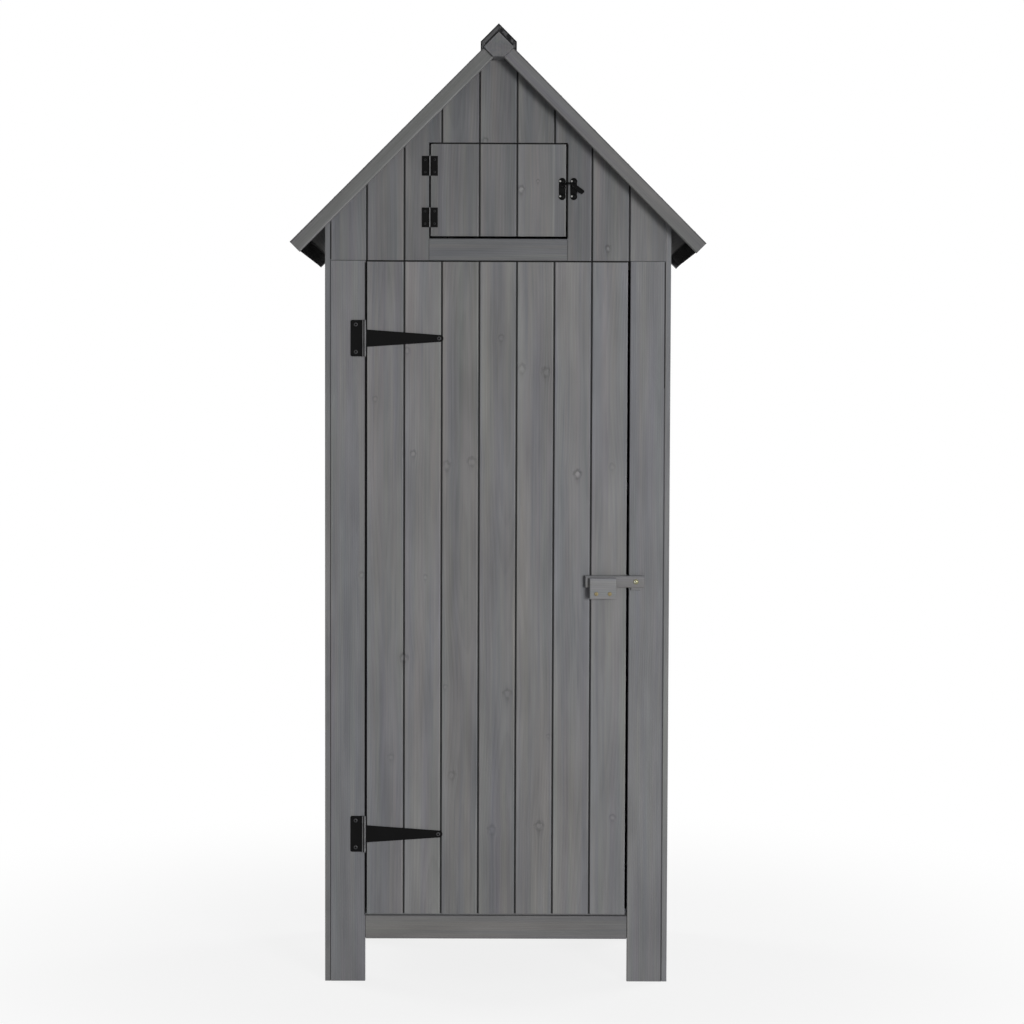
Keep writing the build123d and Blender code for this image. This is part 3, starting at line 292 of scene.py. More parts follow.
def stained_timber(name, along, into, seed, **options):
    """Material of stained fir whose grain runs along one direction on a face that looks against
    another one, with a tone, and a spread of tones over the boards. Boards are one pitch wide from the
    phase on, paler towards their edges, most of all at the right one, where it is a painted highlight,
    with painted shadow in the grooves between them below the face, as far out as the limit. A knot is
    its place across and along, its size, its darkness and the paleness of its heart; loose ones come by
    chance. A seam is a dark line painted along the grain as the shade in a joint: its place across,
    half width, low and high end and darkness, below 0 for a painted pale line. A cut is a dark line
    painted across it as the shade in a joint: its place along, half width and darkness. A rim, its middle
    height and half side, paints pale highlights along the edges of a square beam that stands on its
    corner. Faces up to the shaded depth are painted dark as shade, keeping the shaded tone."""
    pitch = options.get("pitch", 1.0)
    phase = options.get("phase", -0.5)
    limit = options.get("limit", 10.0)
    material, tree, shader, spot = new_material(name)
    turn = Matrix((into.cross(along), into, along)).to_euler()
    turned = add(tree, "ShaderNodeMapping", {"Vector": spot, "Rotation": tuple(turn)})
    across, depth, length = add(tree, "ShaderNodeSeparateXYZ", {0: turned}).node.outputs
    board, aside, edge = board_places(tree, across, pitch, phase, limit)
    light = calc(tree, "MULTIPLY", pale_edge_light(tree, aside, edge, pitch), options.get("tone", 1.0))
    for place, half, low, high, strength in options.get("seams", ()):
        seam = line_mask(tree, across, place, half)
        seam = product(tree, seam, ease(tree, length, low, low + SEAM_FADE))
        seam = product(tree, seam, ease(tree, length, high, high - SEAM_FADE))
        light = shaded(tree, light, seam, strength)
    for place, half, strength in options.get("cuts", ()):
        light = shaded(tree, light, line_mask(tree, length, place, half), strength)
    marks = []
    for x, z, size, dark, pale in options.get("knots", ()):
        marks.append(({"Middle Across": x, "Middle Along": z, "Size": size}, dark, pale))
    if options.get("loose_knots"):
        marks.append((loose_knot(tree, across, length, seed, pitch, phase), 0.24, 0.6))
    heart = 0.0
    wobble = noise(tree, spot, (190, 190, 190), 1) if marks else None
    for feeds, dark, pale in marks:
        feeds |= {"Across": across, "Along": length, "Wobble": wobble}
        knot = add(tree, "ShaderNodeGroup", feeds, "Shift", node_tree=KNOT).node.outputs
        aside = calc(tree, "SUBTRACT", aside, knot["Shift"])
        light = shaded(tree, light, knot["Ring"], dark)
        heart = calc(tree, "MULTIPLY_ADD", knot["Heart"], pale, heart)
    if "rim" in options:
        rim_middle, rim_half = options["rim"]
        below = calc(tree, "ADD", depth, rim_middle)
        corner = calc(tree, "ADD", calc(tree, "ABSOLUTE", across), calc(tree, "ABSOLUTE", below))
        inward = calc(tree, "SUBTRACT", rim_half, calc(tree, "DIVIDE", corner, math.sqrt(2)))
        light = shaded(tree, light, ease(tree, inward, *RIM_HIGHLIGHT), -0.25)
    # Painted shade on the faces up to a depth, keeping a small tone.
    if "covered" in options:
        painted_shade = ease(tree, depth, options["covered"] + SKIN, options["covered"])
        light = shaded(tree, light, painted_shade, 1 - options.get("covered_tone", 0.03))
    # Painted shadow in the grooves between the boards.
    if "face" in options:
        below = calc(tree, "SUBTRACT", depth, options["face"])
        light = shaded(tree, light, groove_shadow_mask(tree, across, edge, below, limit), 0.96)
    feeds = {"Place": add(tree, "ShaderNodeCombineXYZ", {0: aside, 1: depth, 2: length})}
    feeds |= {"Board": board, "Seed": seed, "Spread": options.get("spread", 0.16)}
    feeds |= {"Cool": options.get("cool", COOL_GREY), "Warm": options.get("warm", WARM_GREY)}
    grain = add(tree, "ShaderNodeGroup", feeds, "Color", node_tree=FIR).node.outputs
    colour = brighten(tree, grain["Color"], light)
    if marks:
        colour = blend(tree, heart, colour, brighten(tree, grain["Color"], 1.2))
    feed(tree, shader, {
        "Base Color": colour,
        "Roughness": calc(tree, "MULTIPLY_ADD", grain["Height"], -0.10, 0.76),
        "Normal": relief(tree, grain["Height"], strength=0.35, distance=0.0005),
        "Specular IOR Level": 0.25,
    })
    return material


def finish_nodes(material, *names):
    """Gives CAD nodes a material."""
    for name in names:
        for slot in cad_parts[name].material_slots:
            slot.material = material


finish_nodes(stained_timber("post fir", Z_AXIS, Y_AXIS, 1), "corner_posts")
# The beams' front faces are painted dark, as the shade behind the gaps round the door.
beam_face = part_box("loft_beams")[0].y
beam_fir = stained_timber("beam fir", X_AXIS, Y_AXIS, 2, covered=beam_face + SKIN)
finish_nodes(beam_fir, "loft_beams", "loft_lintel", "gable_rafters")
finish_nodes(stained_timber("plate fir", Y_AXIS, X_AXIS, 3), "side_plates", "shelf_battens", "floor_frame")

# Floor, loft floor and shelves: loose planks of stained fir laid from side to side with small gaps,
# notched round the posts. The floor lies on its frame, the shelves on battens.
BOARD_PITCH = 0.070
plank_fir = stained_timber("plank fir", X_AXIS, -Z_AXIS, 4, pitch=BOARD_PITCH, loose_knots=True)
finish_nodes(plank_fir, "floor_boards", "loft_floor", "lower_shelf", "upper_shelf")

# Side and back walls: upright tongue-and-groove boards of stained fir, 9.5 mm thick, nailed to the
# plates and beams from outside before the stain. The outer boards of the sides reach the ground.
left_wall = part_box("left_side_boards")
right_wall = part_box("right_side_boards")
back_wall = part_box("back_boards")
SIDE_JOINTS = 0.150
BACK_JOINTS = 0.260
for wall, into, face, limit, phase, seed in (
    ("left_side_boards", X_AXIS, left_wall[0].x, SIDE_JOINTS, 0.0, 11),
    ("right_side_boards", -X_AXIS, -right_wall[1].x, SIDE_JOINTS, 0.0, 12),
    ("back_boards", -Y_AXIS, -back_wall[1].y, BACK_JOINTS, BOARD_PITCH / 2, 13),
):
    wall_fir = stained_timber(
        f"{wall} fir", Z_AXIS, into, seed,
        pitch=BOARD_PITCH, phase=phase, face=face, limit=limit, loose_knots=True,
    )
    finish_nodes(wall_fir, wall)

# Front wall: two stiles that run down as legs, a bottom rail, a sill under the loft opening and the
# gable boards, all of the same stained fir, nailed to the posts and beams behind them. Dark lines are
# painted along the stiles' edges, across their tops, beside the gable's left board, round the sill and
# beside the loft door, as the shade in joints that stand a little open. The gable boards and the sill
# are painted darker, as the shade under the roof's overhang.
left_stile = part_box("front_stile_left")
right_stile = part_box("front_stile_right")
stile_boards = {"pitch": BOARD_PITCH, "phase": BOARD_PITCH / 2}
front_boards = stile_boards | {"face": left_stile[0].y}
STILE_KNOTS = [(-0.254, 0.770, 0.005, 0.2, 0.2)]
GABLE_KNOTS = [(-0.025, 1.580, 0.005, 0.32, 0.0), (0.205, 1.381, 0.0048, 0.30, 0.6)]
SEAM_HEIGHT = left_stile[1].z
# Dark lines painted as the shade in the joints along and across the stiles.
stile_seams = [
    (left_stile[0].x + 0.0006, 0.0011, 0.0, SEAM_HEIGHT, 0.45),
    (right_stile[1].x - 0.0008, 0.0015, 0.0, SEAM_HEIGHT, 0.60),
    (right_stile[1].x - 0.0008, 0.0015, 1.12, SEAM_HEIGHT, 0.75),
    (left_stile[1].x - 0.0004, 0.0011, 0.125, SEAM_HEIGHT - 0.002, 0.96),
]
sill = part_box("loft_sill")
# Dark lines painted as the shade beside the gable's left board, round the sill and beside the loft door.
gable_seams = [
    (left_stile[0].x + 0.0007, 0.0016, SEAM_HEIGHT, 2.0, 0.90),
    (sill[0].x - 0.0003, 0.0009, SEAM_HEIGHT, sill[1].z, 0.55),
    (sill[1].x + 0.0003, 0.0009, SEAM_HEIGHT, sill[1].z, 0.40),
    (sill[1].x + 0.0005, 0.0013, sill[1].z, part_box("loft_door_boards")[1].z + 0.002, 0.96),
]
stile_fir = stained_timber(
    "stile fir", Z_AXIS, Y_AXIS, 21, knots=STILE_KNOTS, seams=stile_seams,
    cuts=[(SEAM_HEIGHT, 0.0010, 0.60)], limit=0.001, tone=0.98, **stile_boards,
)
finish_nodes(stile_fir, "front_stile_left", "front_stile_right")
# The gable's low tone is painted shade from the roof's overhang.
gable_fir = stained_timber(
    "gable fir", Z_AXIS, Y_AXIS, 30704, knots=GABLE_KNOTS, seams=gable_seams,
    limit=0.26, tone=0.79, spread=0.24, **front_boards,
)
finish_nodes(gable_fir, "gable_boards_left", "gable_boards_middle", "gable_boards_right")
# The sill's low tone is painted shade.
finish_nodes(stained_timber("sill fir", X_AXIS, Y_AXIS, 25, tone=0.77, spread=0.0), "loft_sill")
finish_nodes(stained_timber("rail fir", X_AXIS, Y_AXIS, 23, tone=0.89), "front_bottom_rail")

# Roof decks: fir panels nailed to the plates and rafters, butted on the ridge beam, painted much
# darker all over, as the shade under the eaves.
shaded_deck_fir = stained_timber("shaded deck fir", Y_AXIS, -Z_AXIS, 31, tone=0.10)
finish_nodes(shaded_deck_fir, "roof_deck_left", "roof_deck_right")

# Barge boards and ridge beam: square-edged trim of stained fir, nailed over the ends of the roof. A
# pale line is painted along the left board's lower edge, and the rear boards' inner faces are painted
# dark as shade. The beam stands on its corner, and its end shows as a grey diamond under the cap,
# with painted highlights along its edges.
CAP_THICKNESS = 0.0113
FELT_THICKNESS = 0.002
BARGE_DEPTH = 0.023
ROOF_APEX = cad_box[1].z - CAP_THICKNESS * math.sqrt(2)
left_slope = (-X_AXIS - Z_AXIS).normalized()
right_slope = (X_AXIS - Z_AXIS).normalized()
lower_edge = ROOF_APEX / math.sqrt(2) - FELT_THICKNESS - BARGE_DEPTH
# A pale line painted along the left barge board's lower edge.
painted_pale_mark = [(lower_edge + 0.0008, 0.0014, -2.0, 2.0, -0.42)]
PLAIN_GREY = (0.152, 0.152, 0.152, 1)
left_barge = stained_timber(
    "left barge fir", left_slope, Y_AXIS, 41,
    spread=0.0, seams=painted_pale_mark, cool=PLAIN_GREY, warm=PLAIN_GREY, tone=0.82,
)
finish_nodes(left_barge, "barge_board_front_left")
right_barge = stained_timber("right barge fir", right_slope, Y_AXIS, 42, spread=0.0, tone=0.84)
finish_nodes(right_barge, "barge_board_front_right")
# The rear boards' inner faces are painted dark as shade.
for place, slope, seed in (("left", left_slope, 44), ("right", right_slope, 45)):
    inner_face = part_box(f"barge_board_back_{place}")[0].y
    rear_barge = stained_timber(
        f"{place} rear barge fir", slope, Y_AXIS, seed,
        spread=0.0, tone=0.84, covered=inner_face + SKIN, covered_tone=0.25,
    )
    finish_nodes(rear_barge, f"barge_board_back_{place}")
beam_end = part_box("ridge_beam")
# Painted highlights along the edges of the beam's end.
end_rim = (beam_end[1].z - beam_end[1].x, beam_end[1].x / math.sqrt(2))
ridge_fir = stained_timber("ridge fir", Y_AXIS, -Z_AXIS, 43, spread=0.0, tone=0.73, rim=end_rim)
finish_nodes(ridge_fir, "ridge_beam")


# Felt covers: sheets of bitumen felt with a face of black and grey mineral grit, laid over the decks
# and barge boards, folded under at the eaves and lifted a little here and there.
FELT_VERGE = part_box("roof_felt_left")[1].y
CUT_EDGE = (FELT_VERGE - 0.0012, FELT_VERGE - 0.0004)
PLY_THICKNESS = 0.0021
PLY_SKIN = (0.0018, 0.0030)
PLY_SEAT = (0.0088, 0.0072)
BITUMEN = (0.003, 0.003, 0.0033, 1)
GRIT_GREY = (0.050, 0.050, 0.053, 1)
PLY_GREY = (0.105, 0.105, 0.108, 1)
PLY_BLACK = (0.010, 0.010, 0.0105, 1)


def mineral_felt(name, layered):
    """Black bitumen with grit pressed into it: each grain is a cell with its own grey, and broad
    patches hold more or less of the paler grains. Cut verges are dull grey, and what faces down is
    painted darker, as shade, and has less gloss. A layered felt shows its plies on a cut end at the depth
    t = min((peak - |x| - z) / sqrt(2), half - |x|) inside its outline: a dark skin, grey plies, broken
    on the right, and a dark seat."""
    material, tree, shader, spot = new_material(name)
    cell = add(tree, "ShaderNodeTexVoronoi", {"Vector": spot, "Scale": 620.0}).node.outputs
    grey = add(tree, "ShaderNodeSeparateXYZ", {0: cell["Color"]})
    patch = noise(tree, spot, (9, 9, 9), 3)
    share = calc(tree, "MULTIPLY_ADD", patch, 0.5, calc(tree, "SUBTRACT", grey, 0.45))
    grit = blend(tree, ease(tree, share, 0.25, 0.95), BITUMEN, GRIT_GREY)
    x, y, z = add(tree, "ShaderNodeSeparateXYZ", {0: spot}).node.outputs
    plies = 1.0
    if layered:
        outward = calc(tree, "ABSOLUTE", x)
        fall = calc(tree, "SUBTRACT", calc(tree, "SUBTRACT", cad_box[1].z, outward), z)
        aside = calc(tree, "SUBTRACT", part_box("ridge_cap")[1].x, outward)
        depth = calc(tree, "MINIMUM", calc(tree, "DIVIDE", fall, math.sqrt(2)), aside)
        uneven = calc(tree, "MULTIPLY", patch, 0.8)
        ply = calc(tree, "MULTIPLY_ADD", depth, 1 / PLY_THICKNESS, uneven)
        stripe = calc(tree, "MULTIPLY_ADD", calc(tree, "PINGPONG", ply, 0.5), 1.2, 0.4)
        torn = ease(tree, noise(tree, spot, (130, 0, 130), 1), 0.42, 0.62)
        whole = calc(tree, "MAXIMUM", torn, ease(tree, x, 0.004, -0.004))
        band = product(tree, ease(tree, depth, *PLY_SKIN), ease(tree, depth, *PLY_SEAT))
        plies = product(tree, band, stripe, whole)
    cut = ease(tree, calc(tree, "ABSOLUTE", y), *CUT_EDGE)
    grit = blend(tree, cut, grit, blend(tree, plies, PLY_BLACK, PLY_GREY))
    # Faces that look down are painted darker, as shade, and given less gloss.
    normal = add(tree, "ShaderNodeNewGeometry", {}, "Normal")
    fold = ease(tree, add(tree, "ShaderNodeSeparateXYZ", {0: normal}, 2), 0.0, -0.4)
    feed(tree, shader, {
        "Base Color": brighten(tree, grit, calc(tree, "MULTIPLY_ADD", fold, -0.6, 1.0)),
        "Roughness": calc(tree, "MULTIPLY_ADD", grey, -0.2, 0.95),
        "Normal": relief(tree, cell["Distance"], strength=0.8, distance=0.001),
        "Specular IOR Level": calc(tree, "MULTIPLY_ADD", fold, -0.19, 0.2),
    })
    return material


def slope_place(side, fall, rise, y):
    """Points on a roof slope: so far down it from the apex, so far out of it, and along the ridge."""
    x = side * (fall + rise) / math.sqrt(2)
    z = ROOF_APEX + (rise - fall) / math.sqrt(2)
    return np.stack(np.broadcast_arrays(x, y, z), axis=-1)


def felt_cover(name, body, material, side, sag):
    """Sheet of felt as a grid over its path and the ridge: the path runs down the slope, round the eave
    by two quarter circles and back under the deck, where only the part between the barge boards
    goes. The slope lifts by w = lift (2 + sin(31 s + y) + sin(23 y + 9 s)) / 4, less near its ends, and
    the fold sags by sag t^0.6 from the front end t = 0 to the back end t = 1."""
    half = FELT_THICKNESS / 2
    bend = 0.0025
    lift = 0.0011
    start = 0.0396
    lip = 0.028
    deck = 0.012
    clearance = 0.0003
    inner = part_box("roof_deck_left")[1].y - clearance
    eave = abs(cad_box[0].x) * math.sqrt(2)
    corner = eave - half - bend
    under = -(FELT_THICKNESS + deck + half)
    quarter = np.linspace(0, np.pi / 2, 7)
    slope_falls = np.linspace(start, corner, 80)
    upper_falls = corner + bend * np.sin(quarter[1:])
    upper_rises = -half - bend + bend * np.cos(quarter[1:])
    lower_falls = corner + bend * np.cos(quarter)
    lower_rises = under + bend - bend * np.sin(quarter)
    lip_falls = np.linspace(corner, eave - lip, 8)[1:]
    slope_rises = np.full(len(slope_falls), -half)
    lip_rises = np.full(len(lip_falls), under)
    falls = np.concatenate([slope_falls, upper_falls, lower_falls, lip_falls])
    rises = np.concatenate([slope_rises, upper_rises, lower_rises, lip_rises])
    ridge = np.concatenate([[-FELT_VERGE], np.linspace(-inner, inner, 90), [FELT_VERGE]])
    fall, along = np.meshgrid(falls, ridge, indexing="ij")
    rows = np.arange(len(falls))[:, None]
    calm = np.clip((fall - start - 0.02) / 0.06, 0, 1) * np.clip((corner - fall) / 0.05, 0, 1)
    calm *= np.clip((FELT_VERGE - np.abs(along)) / 0.06, 0, 1)
    calm = np.where(rows < len(slope_falls), calm, 0)
    waves = 2 + np.sin(31 * fall + along + side) + np.sin(23 * along + 9 * fall + 2 * side)
    fall[len(slope_falls) - 1, [0, -1]] = eave
    held = np.zeros(len(slope_falls) + len(upper_falls))
    loose = np.concatenate([held, np.ones(len(lower_falls)), np.linspace(1, 0, len(lip_falls))])
    drop = sag * loose[:, None] * np.clip((along + inner) / (2 * inner), 0, 1) ** 0.6
    rise = rises[:, None] + lift * calm * waves / 4 - drop
    points = slope_place(side, fall, rise, along).reshape(-1, 3)
    index = np.arange(fall.size).reshape(fall.shape)
    quads = np.stack([index[:-1, :-1], index[1:, :-1], index[1:, 1:], index[:-1, 1:]], axis=-1)
    folded = rows[:-1] >= len(slope_falls) - 1
    outer = np.isin(np.arange(len(ridge) - 1), (0, len(ridge) - 2))[None, :]
    kept = quads[~(folded & outer)]
    if side > 0:
        kept = kept[:, ::-1]
    used, places = np.unique(kept, return_inverse=True)
    mesh = bpy.data.meshes.new(f"{name}_sheet")
    mesh.from_pydata(points[used].tolist(), [], places.reshape(kept.shape).tolist())
    mesh.materials.append(material)
    mesh.shade_smooth()
    sheet = bpy.data.objects.new(f"{name}_sheet", mesh)
    bpy.context.collection.objects.link(sheet)
    skin = sheet.modifiers.new("felt thickness", "SOLIDIFY")
    skin.thickness = FELT_THICKNESS
    skin.offset = 0
    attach(sheet, body)
    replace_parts(sheet, name)


felt = mineral_felt("mineral felt", layered=False)
felt_cover("roof_felt_left", "shed", felt, side=-1, sag=0.008)
felt_cover("roof_felt_right", "shed", felt, side=1, sag=0.003)


# Felt nails: short galvanised clout nails with flat round heads, driven through the felt into the
# barge boards and, along the eaves, into the decks.
# Painted highlights on domed heads: the way they face and their colours.
HIGHLIGHT_FACING = Vector((-0.34, -0.94, 0.02)).normalized()
SCREW_HIGHLIGHT = (0.80, 0.80, 0.72, 1)
# Painted shade in screw recesses.
RECESS_SHADE = (0.004, 0.004, 0.004, 1)


def painted_highlight(tree, narrow):
    """Mask of a painted highlight: the small part of a dome that faces the front, a little to the left,
    within the angle whose cosine is given."""
    facing = add(tree, "ShaderNodeNewGeometry", {}, "Normal")
    feeds = {0: facing, 1: tuple(HIGHLIGHT_FACING)}
    toward = add(tree, "ShaderNodeVectorMath", feeds, "Value", operation="DOT_PRODUCT")
    return ease(tree, toward, narrow, 0.8 + 0.2 * narrow)


def plated_steel(name, colour, dull, crown=0.0):
    """Plated steel: a metal with cloudy patches, painted black as shade in the recess of a screw head,
    and with a painted highlight where a domed head faces a little to the left."""
    material, tree, shader, spot = new_material(name)
    cloud = noise(tree, spot, (500, 500, 500), 3)
    dim = tuple(0.6 * part for part in colour)
    plate = blend(tree, cloud, (*dim, 1), (*colour, 1))
    painted_pale_mark = calc(tree, "MULTIPLY", painted_highlight(tree, 0.972), crown)
    plate = blend(tree, painted_pale_mark, plate, SCREW_HIGHLIGHT)
    # Painted shade in the recess of a screw head.
    hollow = add(tree, "ShaderNodeAttribute", {}, "Fac", attribute_name="hollow")
    feed(tree, shader, {
        "Base Color": blend(tree, hollow, plate, RECESS_SHADE),
        "Roughness": calc(tree, "MULTIPLY_ADD", cloud, 0.2, dull),
        "Metallic": 1.0,
    })
    return material


def ramp(value, start, end):
    """Smooth step of an array from 0 at the start to 1 at the end."""
    share = np.clip((value - start) / (end - start), 0, 1)
    return share * share * (3 - 2 * share)


def head_grid(radius, height, crown, recess, turn):
    """A nail or screw head as rings about its axis: points at (ring, sector) with r from 0 to the radius
    on the crown, whose height is h(r) = rim + (height - rim)(1 - (r / radius)^crown), less a cross
    recess, then down the rim to the seat. Returned as (ring, sector, 3), with the height as the last
    coordinate, and at each point the share of painted shade, in the cross recess and round the middle
    of the crown."""
    core = 0.04
    sectors = np.linspace(0, 2 * np.pi, 49)[:-1]
    share = np.linspace(core, 1, 20)[:, None]
    rim = 0.35 * height
    flat = np.ones_like(sectors)[None, :]
    r = radius * share * flat
    u = r * np.cos(sectors - turn)
    v = r * np.sin(sectors - turn)
    slot = 0.17 * radius
    arm = 0.62 * radius
    upright = ramp(np.abs(u), 1.35 * slot, 0.8 * slot) * ramp(np.abs(v), 1.1 * arm, 0.85 * arm)
    level = ramp(np.abs(v), 1.35 * slot, 0.8 * slot) * ramp(np.abs(u), 1.1 * arm, 0.85 * arm)
    cross = recess * np.maximum(upright, level)
    h = rim + (height - rim) * (1 - share**crown) * flat - 0.55 * height * cross
    crown_points = np.stack([r * np.cos(sectors), r * np.sin(sectors), h], axis=-1)
    seat = crown_points[-1:] * (1, 1, 0)
    hollow = np.maximum(cross, recess * ramp(share, 0.5, 0.3) * flat)
    return np.concatenate([crown_points, seat, core * seat]), np.concatenate([hollow, 0 * r[:2]])


def ringed_piece(name, solids, directions, body, material):
    """Small solids as one piece: the grid of rings of each, turned so that its axes point in three
    directions, at its centre, with both ends closed by fans."""
    points, quads, fans, hollows, start = [], [], [], [], 0
    for centre, (grid, hollow) in solids:
        grid = np.asarray(centre) + grid @ np.asarray(directions)
        rings, sectors = grid.shape[:2]
        index = start + np.arange(rings * sectors).reshape(rings, sectors)
        after = np.roll(index, -1, axis=1)
        quads.append(np.stack([index[:-1], index[1:], after[1:], after[:-1]], axis=-1).reshape(-1, 4))
        poles = np.stack([grid[0].mean(axis=0), grid[-1].mean(axis=0)])
        top = start + rings * sectors
        fans.append(np.stack([np.full(sectors, top), index[0], after[0]], axis=-1))
        fans.append(np.stack([np.full(sectors, top + 1), after[-1], index[-1]], axis=-1))
        points += [grid.reshape(-1, 3), poles]
        hollows += [hollow.reshape(-1), hollow[[0, -1], 0]]
        start += rings * sectors + 2
    mesh = bpy.data.meshes.new(name)
    faces = np.concatenate(quads).tolist() + np.concatenate(fans).tolist()
    mesh.from_pydata(np.concatenate(points).tolist(), [], faces)
    recess = mesh.attributes.new("hollow", "FLOAT", "POINT")
    recess.data.foreach_set("value", np.concatenate(hollows))
    mesh.materials.append(material)
    mesh.shade_smooth()
    mesh.set_sharp_from_angle(angle=math.radians(50))
    piece = bpy.data.objects.new(name, mesh)
    bpy.context.collection.objects.link(piece)
    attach(piece, body)
    return piece


NAIL_RADIUS = 0.0032
NAIL_HEIGHT = 0.0010
NAIL_SPACING = 0.088
EAVE_NAILS = 6
FIRST_NAIL = 0.075
VERGE_ROW = 0.2545
EAVE_ROW = abs(cad_box[0].x) * math.sqrt(2) - 0.016
EAVE_LIFT = 0.0006
galvanised = plated_steel("dull zinc", (0.10, 0.10, 0.104), dull=0.5)
nail = head_grid(NAIL_RADIUS, NAIL_HEIGHT, crown=4, recess=0.0, turn=0.0)
verge_falls = np.arange(FIRST_NAIL, EAVE_ROW, NAIL_SPACING)
eave_places = (np.arange(EAVE_NAILS) - (EAVE_NAILS - 1) / 2) * NAIL_SPACING
for place, side in (("left", -1), ("right", 1)):
    rows = [slope_place(side, verge_falls, 0.0, edge * VERGE_ROW) for edge in (-1, 1)]
    rows.append(slope_place(side, EAVE_ROW, EAVE_LIFT, eave_places))
    outward = np.array([side, 0, 1]) / math.sqrt(2)
    ridgeward = np.array([0, 1, 0])
    directions = (ridgeward, np.cross(outward, ridgeward), outward)
    nails = [(centre, nail) for centre in np.concatenate(rows)]
    ringed_piece(f"felt_nails_{place}", nails, directions, "shed", galvanised)

# Ridge cap: strips of the same felt glued in plies and folded over the ridge beam. The cut ends show
# the plies as thin lines.
finish_nodes(mineral_felt("ridge cap felt", layered=True), "ridge_cap")

# Door and loft door: upright tongue-and-groove boards of stained fir, held together by ledges that
# are screwed across their backs. The knots are where the wood of the real leaves has them.
DOOR_KNOTS = [
    (-0.170, 1.190, 0.005, 0.22, 0.3), (-0.229, 1.100, 0.004, 0.16, 0.3),
    (0.006, 1.214, 0.005, 0.18, 0.2), (0.045, 1.157, 0.007, 0.20, 0.5),
    (0.090, 1.151, 0.007, 0.24, 0.2), (-0.158, 0.997, 0.005, 0.22, 0.4),
    (-0.175, 0.614, 0.007, 0.34, 0.3), (-0.135, 0.766, 0.004, 0.16, 0.3),
    (0.081, 0.296, 0.007, 0.26, 0.5), (0.219, 0.312, 0.005, 0.24, 0.3),
    (-0.008, 0.288, 0.007, 0.18, 0.0), (0.150, 0.960, 0.0065, 0.34, 0.9),
    (-0.095, 0.975, 0.007, 0.22, 0.2), (-0.048, 0.983, 0.007, 0.22, 0.1),
    (0.215, 0.974, 0.005, 0.14, 0.2), (-0.097, 0.559, 0.004, 0.14, 0.2),
    (0.020, 0.546, 0.007, 0.24, 0.3), (-0.199, 0.426, 0.005, 0.14, 0.2),
    (0.097, 0.467, 0.003, 0.20, 0.0), (-0.084, 0.392, 0.006, 0.16, 0.0),
]
LOFT_KNOTS = [(0.042, 1.490, 0.006, 0.30, 0.8), (0.074, 1.506, 0.003, 0.30, 0.0)]
# A dark line is painted at the door's left edge, as the shade in the gap on its hinge side.
door_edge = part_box("door_boards")[0].x
door_seams = [(door_edge, 0.0008, 0.0, 2.0, 0.9)]
door_fir = stained_timber(
    "door fir", Z_AXIS, Y_AXIS, 38664, knots=DOOR_KNOTS, seams=door_seams,
    limit=0.2, tone=0.97, spread=0.18, **front_boards,
)
finish_nodes(door_fir, "door_boards")
# The loft door is painted darker, as the shade under the roof's overhang, and pale lines are painted along
# its edges.
loft_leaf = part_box("loft_door_boards")
loft_seams = [
    (loft_leaf[0].x + 0.0008, 0.0011, 0.0, 2.0, -0.12),
    (loft_leaf[1].x - 0.0008, 0.0011, 0.0, 2.0, -0.22),
]
loft_fir = stained_timber(
    "loft door fir", Z_AXIS, Y_AXIS, 48514, knots=LOFT_KNOTS, seams=loft_seams,
    limit=0.06, tone=0.80, spread=0.22, **front_boards,
)
finish_nodes(loft_fir, "loft_door_boards")
ledge_fir = stained_timber("ledge fir", X_AXIS, -Y_AXIS, 53)
finish_nodes(ledge_fir, "door_ledge_bottom", "door_ledge_middle", "door_ledge_top", "loft_door_ledges")


# T-hinges: pressed steel plate and strap with rolled knuckles on a pin, coated satin black. The
# plate is screwed to the left stile, the strap to the door. A highlight line is painted pale grey
# along the knuckles.
COAT_DARK = (0.0015, 0.0015, 0.0015, 1)
COAT_PALE = (0.0050, 0.0050, 0.0052, 1)
KNUCKLE_HIGHLIGHT = (0.22, 0.22, 0.225, 1)
DOME_HIGHLIGHT = (0.42, 0.42, 0.41, 1)


def coated_iron(name, sheen, dull, axis=None, near=0.0, far=0.0):
    """Satin black coating on steel: nearly even, with a faint orange-peel skin. With an axis, a highlight
    is painted pale grey on the knuckles, so far from the axis across, wherever they stand proud.
    Without one, a highlight is painted on domes where they face a little to the left."""
    material, tree, shader, spot = new_material(name)
    skin = noise(tree, spot, (700, 700, 700), 2)
    cloud = noise(tree, spot, (45, 45, 45), 3)
    colour = blend(tree, cloud, COAT_DARK, COAT_PALE)
    # With an axis, a painted highlight along the knuckles; without one, a painted highlight on domes.
    if axis:
        x, y = add(tree, "ShaderNodeSeparateXYZ", {0: spot}).node.outputs[:2]
        beside = calc(tree, "ABSOLUTE", calc(tree, "SUBTRACT", x, axis.x))
        proud = ease(tree, y, axis.y + 0.0012, axis.y + 0.0004)
        patchy = calc(tree, "MULTIPLY_ADD", cloud, 0.9, 0.3)
        pale_mask = product(tree, ease(tree, beside, near, far), proud, patchy)
        colour = blend(tree, pale_mask, colour, KNUCKLE_HIGHLIGHT)
    else:
        colour = blend(tree, painted_highlight(tree, 0.984), colour, DOME_HIGHLIGHT)
    feed(tree, shader, {
        "Base Color": colour,
        "Roughness": calc(tree, "MULTIPLY_ADD", cloud, 0.15, dull),
        "Normal": relief(tree, skin, strength=0.25, distance=0.0003),
        "Specular IOR Level": sheen,
    })
    return material


def cad_points(node):
    """Vertices of a CAD node, one row each."""
    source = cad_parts[node].data
    corners = np.empty(len(source.vertices) * 3, np.float32)
    source.vertices.foreach_get("co", corners)
    return corners.reshape(-1, 3).astype(float)


